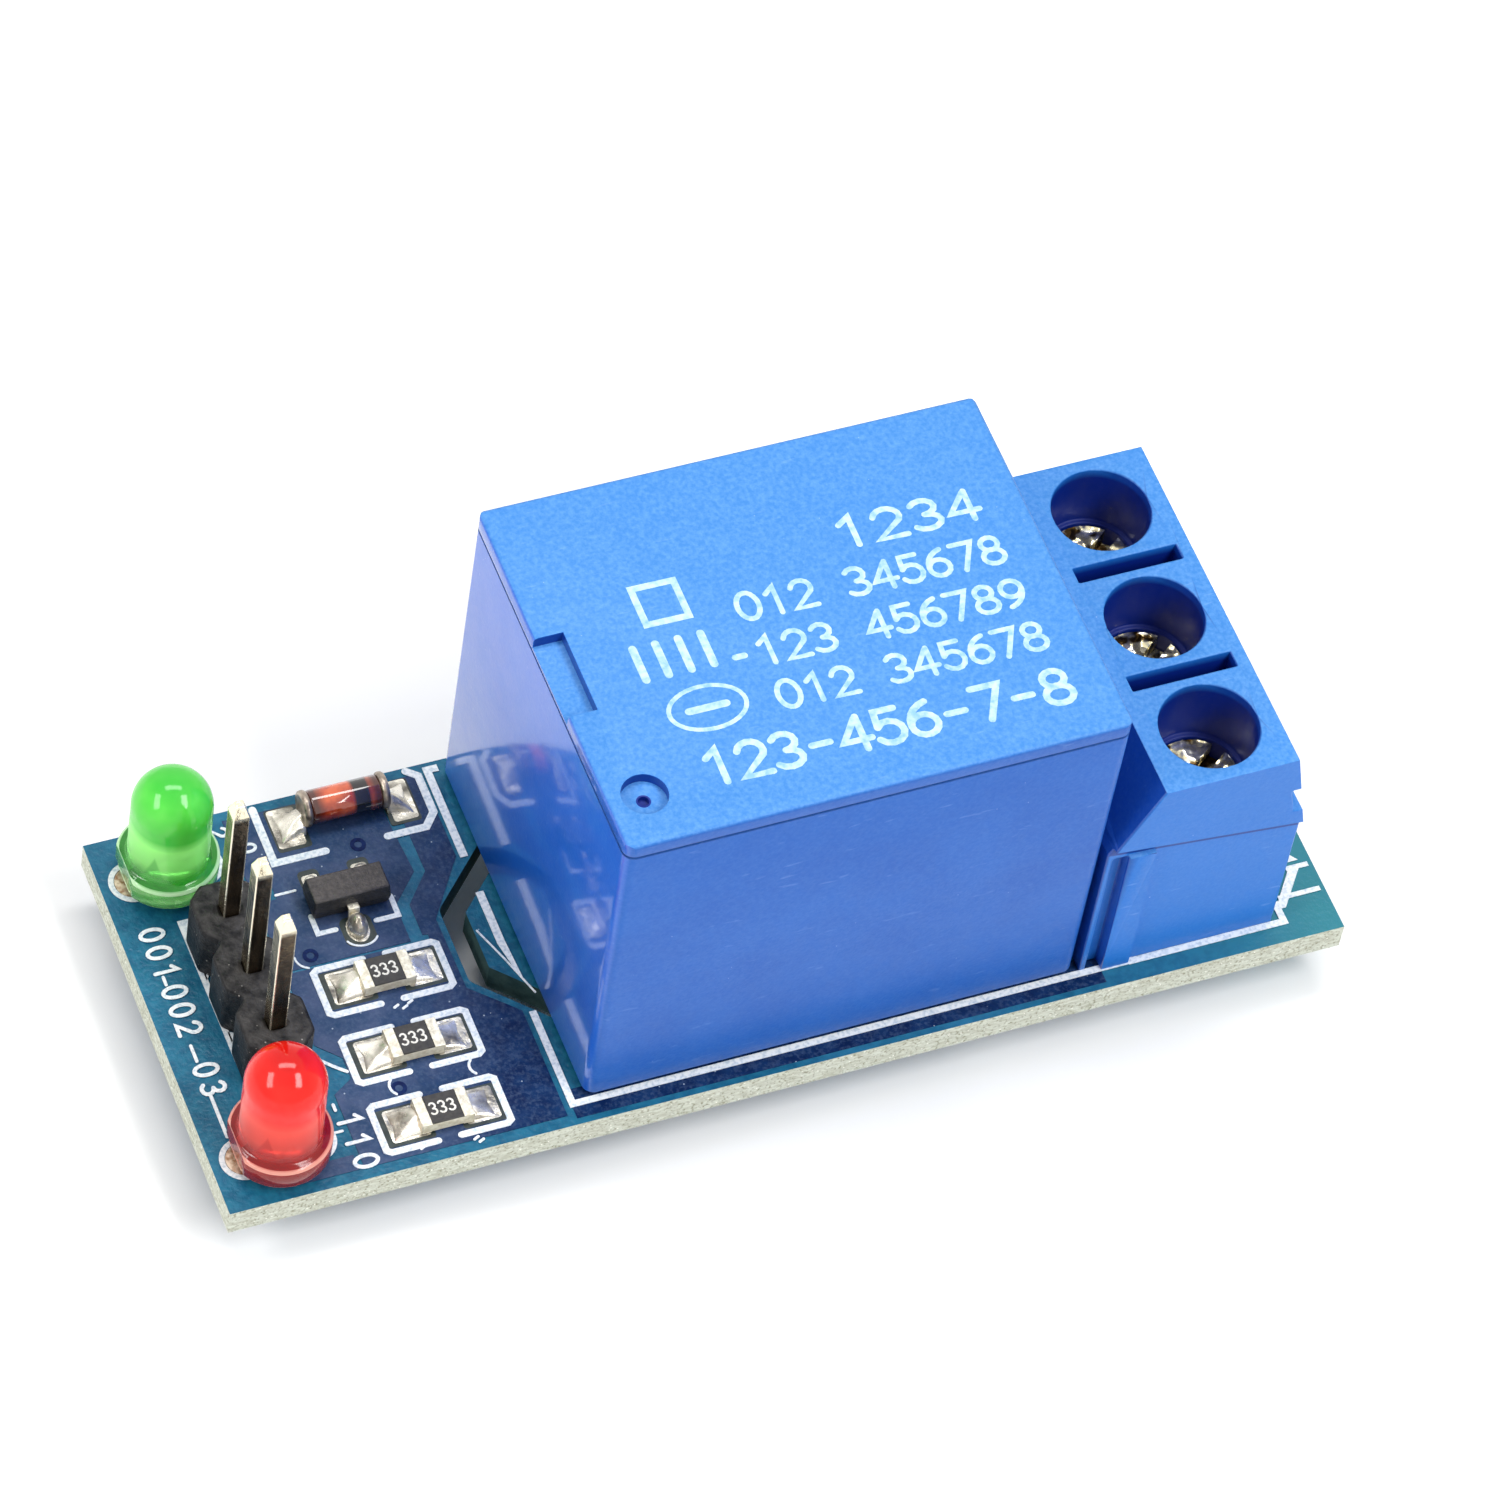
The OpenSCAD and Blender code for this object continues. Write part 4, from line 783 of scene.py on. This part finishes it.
def blue_plastic(name, deep, pale, gloss, handled, pit):
    """Moulded plastic: matt on top, where it is painted paler as sheen, satin on its sides, and polished
    at the header end, where a purer blue is painted for the light on that face.

    handled is how rubbed and dusty it is; pit gives the shade of its hollows.
    """
    material, tree, shader = finish_named(name, IOR=1.5, Specular_IOR_Level=0.32, Coat_Roughness=gloss)
    # Painted light: faces turned up take the paler top colour as sheen, and the end facing the header
    # takes a purer blue of its own for the light on it
    lit_top_mask = span(tree, facing(tree, 2), 0.25, 0.9)
    end_polish_and_light = span(tree, facing(tree, 0), -0.5, -0.9)
    body = mix(tree, end_polish_and_light, mix(tree, lit_top_mask, deep, pale), (0.0, 0.102, 0.60))
    clouds = grain(tree, 0.35, 3.0, 0.3, 0.7)
    body = mix(tree, times(tree, clouds, 0.16), body, (0.02, 0.19, 0.66))
    stipple = grain(tree, 7.0, 5.0, 0.36, 0.72)
    stipple = times(tree, stipple, plus(tree, times(tree, lit_top_mask, 0.15), 0.04))
    body = mix(tree, stipple, body, (0.32, 0.62, 0.98))
    rubs = grain(tree, 3.0, 2.0, 0.68, 0.76, stretch=(0.25, 1.6, 1.0))
    body = mix(tree, times(tree, rubs, 0.17 * handled), body, (0.45, 0.68, 0.98))
    motes = specks(tree, 1.1, 0.03)
    body = mix(tree, times(tree, motes, 0.5 * handled), body, (0.62, 0.78, 0.98))
    body = mix(tree, pit(tree), body, (0.002, 0.018, 0.205))
    sheen = plus(tree, 0.35, times(tree, lit_top_mask, 0.15))
    sheen = plus(tree, sheen, times(tree, grain(tree, 1.2, 3.0), 0.05))
    polish = times(tree, end_polish_and_light, 0.95)
    wire(tree, shader, Base_Color=body, Roughness=sheen, Coat_Weight=polish)
    raise_surface(tree, shader, grain(tree, 9.0, 4.0, 0.25, 0.8), 0.008, 0.4)
    return material


cover_low, cover_high = (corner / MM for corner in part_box("relay_cover"))
VENT_X, VENT_Y, VENT_R = cover_low.x + 1.4, cover_low.y + 2.05, 0.2646
MOULD_LINE, VENT_DEPTH, WALL_DEPTH = (0.60, 0.76), (0.43, 0.8), (0.06, 0.5)
POCKET_X, POCKET_Y = (cover_low.x + 0.04, cover_low.x + 2.5), (cover_low.y + 0.4, cover_high.y - 1.0)
LINE_SHADE, WALL_SHADE = 0.6, 0.75


def within(tree, value, low, high):
    """1 where value lies between low and high."""
    above, below = maths(tree, "GREATER_THAN", value, low), maths(tree, "LESS_THAN", value, high)
    return times(tree, above, below)


def cover_shade(tree):
    """1 in the vent, part way there in the moulding line and on the pocket and dimple walls."""
    x, y = axis_value(tree, 0), axis_value(tree, 1)
    depth = minus(tree, cover_high.z, axis_value(tree, 2))
    line = times(tree, within(tree, depth, *MOULD_LINE), LINE_SHADE)

    off_x, off_y = minus(tree, x, VENT_X), minus(tree, y, VENT_Y)
    reach = plus(tree, times(tree, off_x, off_x), times(tree, off_y, off_y))
    in_vent = maths(tree, "LESS_THAN", reach, VENT_R ** 2)
    vent = times(tree, in_vent, within(tree, depth, *VENT_DEPTH))

    steep = maths(tree, "LESS_THAN", facing(tree, 2), 0.5)
    near = times(tree, within(tree, x, *POCKET_X), within(tree, y, *POCKET_Y))
    walls = times(tree, within(tree, depth, *WALL_DEPTH), steep)
    walls = times(tree, times(tree, walls, near), WALL_SHADE)
    return maths(tree, "MAXIMUM", maths(tree, "MAXIMUM", line, vent), walls)


# The top colour is painted paler than the sides' colour, as sheen
RELAY_SIDE, RELAY_LIT_TOP = (0.002, 0.092, 0.440), (0.044, 0.215, 0.580)
relay_blue = blue_plastic("relay_blue", RELAY_SIDE, RELAY_LIT_TOP, gloss=0.09, handled=0.5, pit=cover_shade)
cover = stand_in("relay_cover", "relay_shell", relay_blue, "relay_plastic", bevel=0.1, steps=3)
dress("relay_base", relay_blue)

# The top is let down by the ink's thickness, so that the print stays inside the CAD's size
PRINT_T, TOP_SKIN = 0.012, 0.05
for vert in cover.data.vertices:
    if vert.co.z > (cover_high.z - TOP_SKIN) * MM:
        vert.co.z -= PRINT_T * MM
print_top = cover_high.z - board_high.z / MM
STAMP = (print_top - PRINT_T * 1.2, print_top)
ALONG = (1, -0.012)
stamp = ([], [])
number(stamp, "1234", (25.7, 11.05), ALONG, *STAMP, height=1.27, step=1.42, stroke=0.23, widen=1.35)
for text, y in (("012 345678", 9.02), ("123 456789", 7.02), ("012 345678", 5.04)):
    number(stamp, text, (21.1, y), ALONG, *STAMP, height=1.16, step=1.03, stroke=0.2, widen=1.1)
LAST_ROW = {"height": 1.42, "step": 1.27, "stroke": 0.26, "widen": 1.15}
number(stamp, "123-456-7-8", (17.5, 2.68), ALONG, *STAMP, **LAST_ROW)


def mark(points, width, **options):
    """One printed line on the relay's top."""
    ribbon(stamp, points, width, *STAMP, **options)


# Plain shapes beside the numbers: a square, four bars, a dash, and an oval with a bar
mark([(17.75, 9.8), (19.35, 9.78), (19.35, 11.4), (17.75, 11.42)], 0.26, closed=True)
for k in range(4):
    mark([(16.9 + 0.85 * k, 7.55), (16.9 + 0.85 * k, 8.95)], 0.3)
mark([(20.25, 7.6), (20.6, 7.6)], 0.25)
mark(disc(18.55, 5.85, 1.42, 0.92, 36), 0.17, closed=True)
mark([(17.85, 5.85), (19.25, 5.85)], 0.3)
stamp_ink, tree, shader = finish_named("stamp_ink", Roughness=0.5)
worn = grain(tree, 3.5, 5.0, 0.30, 0.62)
wire(tree, shader, Base_Color=mix(tree, worn, (0.22, 0.46, 0.78), (0.52, 0.70, 0.86)))
new_piece("relay_print", *stamp, stamp_ink, "relay_plastic")

# ---- Terminal block ----
# Three poles in one injection-moulded housing of slightly lighter blue, with sloped
# shoulders. Each pole has a brass-passivated screw that lifts a plated steel cage.

block_low, block_high = (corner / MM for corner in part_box("terminal_housing"))
SCREW_X, PIT_REACH, END_WALL = 4.27, 2.12, 0.3
HEAD_EDGE, HEAD_EDGE_FALL, HEAD_LINE = 7.65, 1.05 / 7.75, (-0.41, -0.005)
HEAD_LINE_SHADE, GAP_SHADE = 0.8, 0.62


def apart(tree, a, b):
    """How far a is from b."""
    return maths(tree, "ABSOLUTE", minus(tree, a, b))


def well_shade(tree):
    """1 deep in the wells and slots, part way there in the gap to the relay and under the head."""
    depth = span(tree, axis_value(tree, 2), block_high.z - 0.02, block_high.z - 0.45)
    off_x = apart(tree, axis_value(tree, 0), block_low.x + SCREW_X)
    off_y = apart(tree, axis_value(tree, 1), (block_low.y + block_high.y) / 2)
    near_x = maths(tree, "LESS_THAN", off_x, PIT_REACH)
    near_y = maths(tree, "LESS_THAN", off_y, (block_high.y - block_low.y) / 2 - END_WALL)
    wells = times(tree, times(tree, near_x, near_y), depth)

    # The head's lower edge falls towards the wire side
    from_relay = minus(tree, axis_value(tree, 0), block_low.x)
    edge = minus(tree, board_high.z / MM + HEAD_EDGE, times(tree, from_relay, HEAD_EDGE_FALL))
    under = within(tree, minus(tree, axis_value(tree, 2), edge), *HEAD_LINE)
    sideways = maths(tree, "GREATER_THAN", maths(tree, "ABSOLUTE", facing(tree, 1)), 0.8)
    line = times(tree, times(tree, under, sideways), HEAD_LINE_SHADE)

    gap = times(tree, span(tree, facing(tree, 0), -0.2, -0.6), GAP_SHADE)
    return maths(tree, "MAXIMUM", wells, maths(tree, "MAXIMUM", line, gap))


# The top colour is painted paler than the sides' colour, as sheen
BLOCK_SIDE, BLOCK_LIT_TOP = (0.008, 0.150, 0.560), (0.040, 0.215, 0.590)
block_blue = blue_plastic("terminal_blue", BLOCK_SIDE, BLOCK_LIT_TOP, gloss=0.3, handled=0.8, pit=well_shade)
stand_in("terminal_housing", "terminal_shell", block_blue, "terminal_plastic", bevel=0.07, merge=False)

brassy, tree, shader = finish_named("passivated_brass", Metallic=0.88, Roughness=0.25)
plating_and_glints = mix(tree, grain(tree, 1.3, 2.0, 0.40, 0.50), (0.09, 0.05, 0.012), (1.0, 0.90, 0.56))
# Near-white spots are painted glints
plating_and_glints = mix(tree, grain(tree, 1.5, 2.0, 0.54, 0.62), plating_and_glints, (1.0, 0.98, 0.88))
wire(tree, shader, Base_Color=plating_and_glints)
raise_surface(tree, shader, grain(tree, 1.2, 1.5), 0.45, 0.7)
cage_steel = metal("cage_steel", (0.72, 0.70, 0.64), (0.46, 0.44, 0.39), rough=0.28)
for i in (1, 2, 3):
    screw = f"screw_{i}"
    stand_in(f"clamp_{screw}", f"{screw}_metal", brassy, "screw_brass", bevel=0.05, body=screw)
    dress(f"wire_cage_{i}", cage_steel)
    dress(f"terminal_pin_{i}", tin)

# ---- Pin header ----
# Three square gilt pins pressed through a moulded black strip that is nicked between
# cells so it can be snapped; the strip has a grey bloom of dust and flux, its top painted paler as
# sheen.

header_black, tree, shader = finish_named("header_black", Roughness=0.42, Specular_IOR_Level=0.16)
bloom = grain(tree, 2.4, 5.0, 0.35, 0.62)
strip_side = mix(tree, bloom, (0.003, 0.003, 0.004), (0.014, 0.014, 0.015))
top_dust_and_sheen = mix(tree, bloom, (0.009, 0.009, 0.010), (0.048, 0.046, 0.045))
# The top is paler than the sides: partly dust on it, partly painted sheen
strip = mix(tree, span(tree, facing(tree, 2), 0.6, 0.95), strip_side, top_dust_and_sheen)
strip = mix(tree, specks(tree, 3.0, 0.12), strip, (0.25, 0.24, 0.22))
wire(tree, shader, Base_Color=strip)
raise_surface(tree, shader, grain(tree, 5.0, 4.0), 0.05, 0.5)
stand_in("header_body", "header_strip", header_black, "black_plastic", bevel=0.13)

# The gilding is painted dark on the shafts as a reflection of dark surroundings, lighter in places on
# the faces towards the header end as painted light, with painted highlights on the arrises; the tips
# show the plain gilt
PIN_PITCH, PIN_HALF, ARRIS = 2.54, 0.32, 0.07
gilt, tree, shader = finish_named("gilt_pin", Metallic=0.9, Roughness=0.24)
pin_low, pin_high = (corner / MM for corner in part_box("header_pin_2"))
pin_mid = (pin_low + pin_high) / 2
streaks = grain(tree, 1.6, 3.0, stretch=(1.0, 1.0, 0.3))
painted_shaft = mix(tree, streaks, (0.022, 0.016, 0.010), (0.13, 0.095, 0.055))
# Painted light: paler in places on the faces towards the header end
lit_patches = times(tree, span(tree, facing(tree, 0), -0.4, -0.8), grain(tree, 0.9, 2.0, 0.4, 0.6))
painted_shaft = mix(tree, lit_patches, painted_shaft, (0.26, 0.21, 0.13))
from_axis = apart(tree, axis_value(tree, 0), pin_mid.x)
along_row = maths(tree, "PINGPONG", minus(tree, axis_value(tree, 1), pin_mid.y), PIN_PITCH / 2)
from_middle = maths(tree, "MINIMUM", from_axis, along_row)
# Painted highlights along the arrises
arris_highlight = span(tree, from_middle, PIN_HALF - ARRIS, PIN_HALF - ARRIS / 2)
painted_shaft = mix(tree, arris_highlight, painted_shaft, (0.82, 0.76, 0.60))
tip = span(tree, axis_value(tree, 2), pin_high.z - 0.75, pin_high.z - 0.45)
wire(tree, shader, Base_Color=mix(tree, tip, painted_shaft, (0.92, 0.84, 0.62)))
raise_surface(tree, shader, grain(tree, 4.0, 3.0), 0.02, 0.4)
for i in (1, 2, 3):
    stand_in(f"header_pin_{i}", f"post_{i}", gilt, "pin_gold", bevel=0.04)

# ---- Indicator lamps ----
# 3 mm lamps cast in tinted, diffused epoxy: a dome on a straight body, with a clear-looking
# flange that has a flat on the cathode side. Two stamped posts stand inside.

LENS_R, FLANGE_H, LENS_EDGE, AROUND = 1.5, 1.0, 0.12, 72
# Heights above the flange's foot, in mm, where one tint gives way to the next
FOOT_RIM_HIGHLIGHT, FOOT_TO_WAIST, WAIST_TO_BODY, BODY_TO_DOME = (0.16, 0.08), (0.85, 1.0), (1.1, 1.9), (3.0, 3.5)
RIM_HALF, WEDGE_LOW, WEDGE_AT, WEDGE_LEAN = 0.06, 1.3, -0.6, 0.32
POST_PLANE = (0.93, 0.36)


def lens_mesh(name, node, material, slot):
    """A finely turned lens over the CAD one: same radii, dome and flat."""
    low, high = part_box(node)
    mid_y = (low.y + high.y) / 2
    lens_r, edge = LENS_R * MM, LENS_EDGE * MM
    flange_r, flange_z = (high.y - low.y) / 2, low.z + FLANGE_H * MM
    dome_z = high.z - lens_r
    cx = high.x - flange_r
    profile = [(flange_r - edge, low.z), (flange_r, low.z + edge)]
    profile += [(flange_r, flange_z - edge), (flange_r - edge, flange_z)]
    profile += [(lens_r + edge, flange_z), (lens_r, flange_z + edge), (lens_r, dome_z)]
    for angle in range(5, 90, 5):
        a = math.radians(angle)
        profile.append((lens_r * math.cos(a), dome_z + lens_r * math.sin(a)))
    verts, faces = [], []
    for r, z in profile:
        for j in range(AROUND):
            a = 2 * math.pi * j / AROUND
            x = max(cx + r * math.cos(a), low.x)
            verts.append((x, mid_y + r * math.sin(a), z))
    verts.append((cx, mid_y, high.z))
    skin_rings(faces, 0, len(profile), AROUND)
    made = new_piece(name, verts, faces, material, slot, smooth=True)
    made.data.set_sharp_from_angle(angle=math.radians(50))
    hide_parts(node)


def epoxy(name, node, dome, body, waist, foot, rim):
    """Tinted epoxy: milky in the dome, clearer towards the flange, with painted highlights along the
    flange's edges and painted shade at the top of the dome.
    """
    material, tree, shader = finish_named(name, Roughness=0.1, IOR=1.5, Specular_IOR_Level=0.36)
    low, high = (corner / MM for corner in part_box(node))
    middle = (low + high) / 2
    z = minus(tree, axis_value(tree, 2), low.z)
    tint = mix(tree, span(tree, z, *FOOT_TO_WAIST), foot, waist)
    tint = mix(tree, span(tree, z, *WAIST_TO_BODY), tint, body)
    tint = mix(tree, span(tree, z, *BODY_TO_DOME), tint, dome)

    # Painted highlights as pale lines at the flange's foot and top edges, and painted shade as a deeper
    # tint at the top of the dome
    top_rim_highlight = maths(tree, "LESS_THAN", apart(tree, z, FLANGE_H - RIM_HALF), RIM_HALF)
    rim_highlights = times(tree, maths(tree, "MAXIMUM", span(tree, z, *FOOT_RIM_HIGHLIGHT), top_rim_highlight), 0.7)
    tint = mix(tree, rim_highlights, tint, rim)
    tint = mix(tree, times(tree, grain(tree, 0.7, 2.0), 0.25), tint, body)
    crown_shade = times(tree, span(tree, facing(tree, 2), 0.75, 0.98), 0.7)
    tint = mix(tree, crown_shade, tint, waist)

    # The posts' heads show through the waist as a wedge that narrows upwards
    off_x = minus(tree, axis_value(tree, 0), middle.x)
    off_y = minus(tree, axis_value(tree, 1), middle.y)
    across = minus(tree, times(tree, off_x, POST_PLANE[0]), times(tree, off_y, POST_PLANE[1]))
    narrowing = times(tree, minus(tree, z, WEDGE_LOW), WEDGE_LEAN)
    reach = plus(tree, apart(tree, across, WEDGE_AT), narrowing)
    above_flange = span(tree, z, WEDGE_LOW - 0.05, WEDGE_LOW + 0.05)
    wedge = times(tree, span(tree, reach, 0.42, 0.34), above_flange)
    tint = mix(tree, times(tree, wedge, 0.55), tint, waist)

    clear = add(tree, "MapRange", {0: z, 1: 0.6, 2: 3.0, 3: 0.85, 4: 0.08}).outputs[0]
    clear = times(tree, clear, minus(tree, 1.0, rim_highlights))
    wire(tree, shader, Base_Color=tint, Transmission_Weight=clear)
    raise_surface(tree, shader, grain(tree, 0.9, 2.0), 0.03, 0.15)
    return material


# The rim colours are painted highlights on the flange's edges; the waist colour also paints the shade at
# the top of the dome
RED_TINTS = {
    "dome": (0.86, 0.006, 0.002),
    "body": (0.88, 0.060, 0.038),
    "waist": (0.50, 0.004, 0.004),
    "foot": (0.58, 0.060, 0.052),
    "rim": (1.0, 0.56, 0.44),
}
GREEN_TINTS = {
    "dome": (0.055, 0.60, 0.04),
    "body": (0.31, 0.98, 0.20),
    "waist": (0.045, 0.47, 0.045),
    "foot": (0.40, 0.80, 0.33),
    "rim": (0.78, 1.0, 0.70),
}
red_epoxy = epoxy("red_epoxy", "power_lamp_lens", **RED_TINTS)
green_epoxy = epoxy("green_epoxy", "relay_lamp_lens", **GREEN_TINTS)
lens_mesh("red_lens", "power_lamp_lens", red_epoxy, "red_lens")
lens_mesh("green_lens", "relay_lamp_lens", green_epoxy, "green_lens")
for lamp in ("power_lamp", "relay_lamp"):
    dress(f"{lamp}_anode", tin)
    dress(f"{lamp}_cathode", tin)

# ---- Chip resistors ----
# White ceramic with wrapped tin ends and a black glazed coat over the film, printed with a
# three-digit number. The fillets at both ends hold each one to its lands.

SEAT_GAP, CERAMIC_H = 0.06, 0.46
ceramic, tree, shader = finish_named("coated_ceramic", Roughness=0.4)
coat_z = board_high.z / MM + SEAT_GAP + CERAMIC_H
is_coat = span(tree, axis_value(tree, 2), coat_z - 0.012, coat_z + 0.004)
stone = mix(tree, grain(tree, 5.0), (0.60, 0.54, 0.38), (0.80, 0.76, 0.60))
glaze = mix(tree, grain(tree, 6.0), (0.010, 0.009, 0.008), (0.030, 0.027, 0.022))
wire(tree, shader, Base_Color=mix(tree, is_coat, stone, glaze))
CHIP_TIN, CHIP_TIN_DARK = (0.86, 0.82, 0.68), (0.55, 0.50, 0.38)
chip_ends = metal("chip_end_tin", CHIP_TIN, CHIP_TIN_DARK, rough=0.35, scale=6.0, metallic=0.6)
INK_UNDER, INK_OVER = 0.002, 0.006
CODE_DIGIT = {"height": 0.48, "step": 0.34, "stroke": 0.075, "widen": 0.8}
codes = ([], [])
for i, y in enumerate(CHIP_YS, 1):
    stand_in(f"resistor_{i}", f"chip_{i}_body", ceramic, "resistor_ceramic", bevel=0.03)
    stand_in(f"resistor_ends_{i}", f"chip_{i}_ends", chip_ends, "tinned_pin", bevel=0.05)
    top = (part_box(f"resistor_{i}")[1].z - board_high.z) / MM
    corner = (CHIP_X - 0.5, y - 0.24)
    number(codes, "333", corner, (1, 0), top - INK_UNDER, top + INK_OVER, **CODE_DIGIT)
code_ink, tree, shader = finish_named("code_ink", Roughness=0.5)
wire(tree, shader, Base_Color=mix(tree, grain(tree, 14.0), (0.62, 0.60, 0.52), (0.92, 0.90, 0.82)))
new_piece("chip_codes", *codes, code_ink, "resistor_ceramic")

# ---- Transistor ----
# A small three-lead package moulded in black epoxy, its top faces a lighter grey-brown than its sides.
# Its tinned gull-wing leads are soldered to their lands.

black_epoxy, tree, shader = finish_named("package_epoxy", Roughness=0.5)
# The top faces are a lighter grey-brown than the sides
upper = span(tree, facing(tree, 2), 0.5, 0.9)
grey_brown_top = mix(tree, grain(tree, 6.0, 4.0), (0.020, 0.016, 0.015), (0.056, 0.047, 0.043))
side_black = mix(tree, grain(tree, 4.0), (0.008, 0.008, 0.009), (0.022, 0.021, 0.021))
wire(tree, shader, Base_Color=mix(tree, upper, side_black, grey_brown_top))
raise_surface(tree, shader, grain(tree, 12.0, 3.0), 0.02, 0.5)
stand_in("transistor_body", "package", black_epoxy, "black_plastic", bevel=0.06)
for i in (1, 2, 3):
    stand_in(f"transistor_lead_{i}", f"gull_lead_{i}", chip_ends, "tinned_pin", bevel=0.025)

# ---- Diode ----
# A glass barrel sealed round two slugs and the die; the amber-red glass has a black
# cathode band and dull tinned caps.

glass_low, glass_high = (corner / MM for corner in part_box("diode_glass"))
BAND_START, BAND_END, CAP_SHADE = (0.20, 0.34), (0.96, 0.84), (0.75, 1.15)
barrel, tree, shader = finish_named("banded_glass", Roughness=0.06, Coat_Weight=1.0)
lengthwise = minus(tree, axis_value(tree, 0), (glass_low.x + glass_high.x) / 2)
amber = mix(tree, grain(tree, 1.4, 3.0), (0.42, 0.030, 0.010), (0.86, 0.15, 0.045))
near_caps = span(tree, maths(tree, "ABSOLUTE", lengthwise), *CAP_SHADE)
amber = mix(tree, near_caps, amber, (0.10, 0.022, 0.012))
# Painted shade: the glass is darker towards the bottom of the barrel
lower_shade = span(tree, axis_value(tree, 2), glass_low.z + 0.75, glass_low.z + 0.35)
amber = mix(tree, times(tree, lower_shade, 0.85), amber, (0.05, 0.010, 0.008))
band = times(tree, span(tree, lengthwise, *BAND_START), span(tree, lengthwise, *BAND_END))
wire(tree, shader, Base_Color=mix(tree, band, amber, (0.012, 0.008, 0.008)))
stand_in("diode_glass", "diode_barrel", barrel, "diode_glass", bevel=0.1, steps=3)
CAP_TIN, CAP_TIN_DARK = (0.50, 0.42, 0.34), (0.14, 0.11, 0.09)
dull_cap = metal("dull_cap", CAP_TIN, CAP_TIN_DARK, rough=0.35, scale=2.5, metallic=0.8)
for i in (1, 2):
    stand_in(f"diode_cap_{i}", f"diode_end_{i}", dull_cap, "tinned_pin", bevel=0.12, steps=3)
die, tree, shader = finish_named("silicon", Metallic=0.5, Roughness=0.2)
wire(tree, shader, Base_Color=mix(tree, grain(tree, 8.0), (0.05, 0.05, 0.06), (0.16, 0.16, 0.18)))
dress("diode_die", die)

# ---- Studio ----
# A white sweep between two tall window boxes, left and right of the viewer, and a soft
# panel overhead; the room itself is white too, so glossy sides mirror it.

FLOOR_SIZE, FLOOR_GAP = 3.0, 0.02
AIM = Vector((0, 0, 0.01))
VIEW_RIGHT, VIEW_UP = Vector((0.9273, -0.3568, 0.1126)), Vector((0.2270, 0.7757, 0.5887))
VIEW_FROM, LENS, SENSOR = Vector((-82.92, -145.49, 235.37)), 187.63, 36.0

sweep, tree, shader = finish_named("pale_floor", Roughness=0.7)
wire(tree, shader, Base_Color=mix(tree, grain(tree, 0.02), (0.90, 0.90, 0.90), (0.93, 0.93, 0.93)))
under_tails = cad_box[0][2] - FLOOR_GAP * MM
bpy.ops.mesh.primitive_plane_add(size=FLOOR_SIZE, location=(0, 0, under_tails))
floor = bpy.context.object
floor.name = "floor"
floor.data.materials.append(sweep)


def axes_to_turn(across, up, back):
    """The rotation whose x, y and z axes are these."""
    return Matrix((across, up, back)).transposed()


def softbox(name, where, size, power):
    """A rectangular lamp aimed at the board, upright as the viewer sees it."""
    data = bpy.data.lights.new(name, "AREA")
    data.shape = "RECTANGLE"
    data.size, data.size_y = size
    data.energy = power
    made = bpy.data.objects.new(name, data)
    made.location = where
    back = (Vector(where) - AIM).normalized()
    across = VIEW_UP.cross(back).normalized()
    made.rotation_euler = axes_to_turn(across, back.cross(across), back).to_euler()
    bpy.context.scene.collection.objects.link(made)


TALL, WIDE = (0.17, 0.40), (0.44, 0.14)
softbox("left_window", (-0.466, -0.023, 0.375), size=TALL, power=1.8)
softbox("right_window", (0.206, -0.298, 0.478), size=TALL, power=2.6)
softbox("overhead", (0.034, 0.15, 0.58), size=WIDE, power=1.7)

world = bpy.data.worlds.new("white_room")
bpy.context.scene.world = world
world.use_nodes = True
sky = world.node_tree
path = add(sky, "LightPath")
seen = maths(sky, "MAXIMUM", path.outputs["Is Camera Ray"], path.outputs["Is Glossy Ray"])
room = sky.nodes["Background"]
room.inputs["Color"].default_value = (1.0, 1.0, 1.0, 1.0)
ROOM_LIGHT, ROOM_SEEN = 0.3, 1.0
level = add(sky, "MapRange", {0: seen, 3: ROOM_LIGHT, 4: ROOM_SEEN}).outputs[0]
sky.links.new(level, room.inputs["Strength"])

camera_data = bpy.data.cameras.new("camera")
camera_data.lens = LENS
camera_data.sensor_width = SENSOR
camera_data.clip_start = 0.01
camera = bpy.data.objects.new("camera", camera_data)
turned = axes_to_turn(VIEW_RIGHT, VIEW_UP, VIEW_RIGHT.cross(VIEW_UP)).to_4x4()
camera.matrix_world = Matrix.Translation(VIEW_FROM * MM) @ turned
bpy.context.scene.collection.objects.link(camera)
bpy.context.scene.camera = camera
bpy.context.scene.view_settings.view_transform = "Standard"
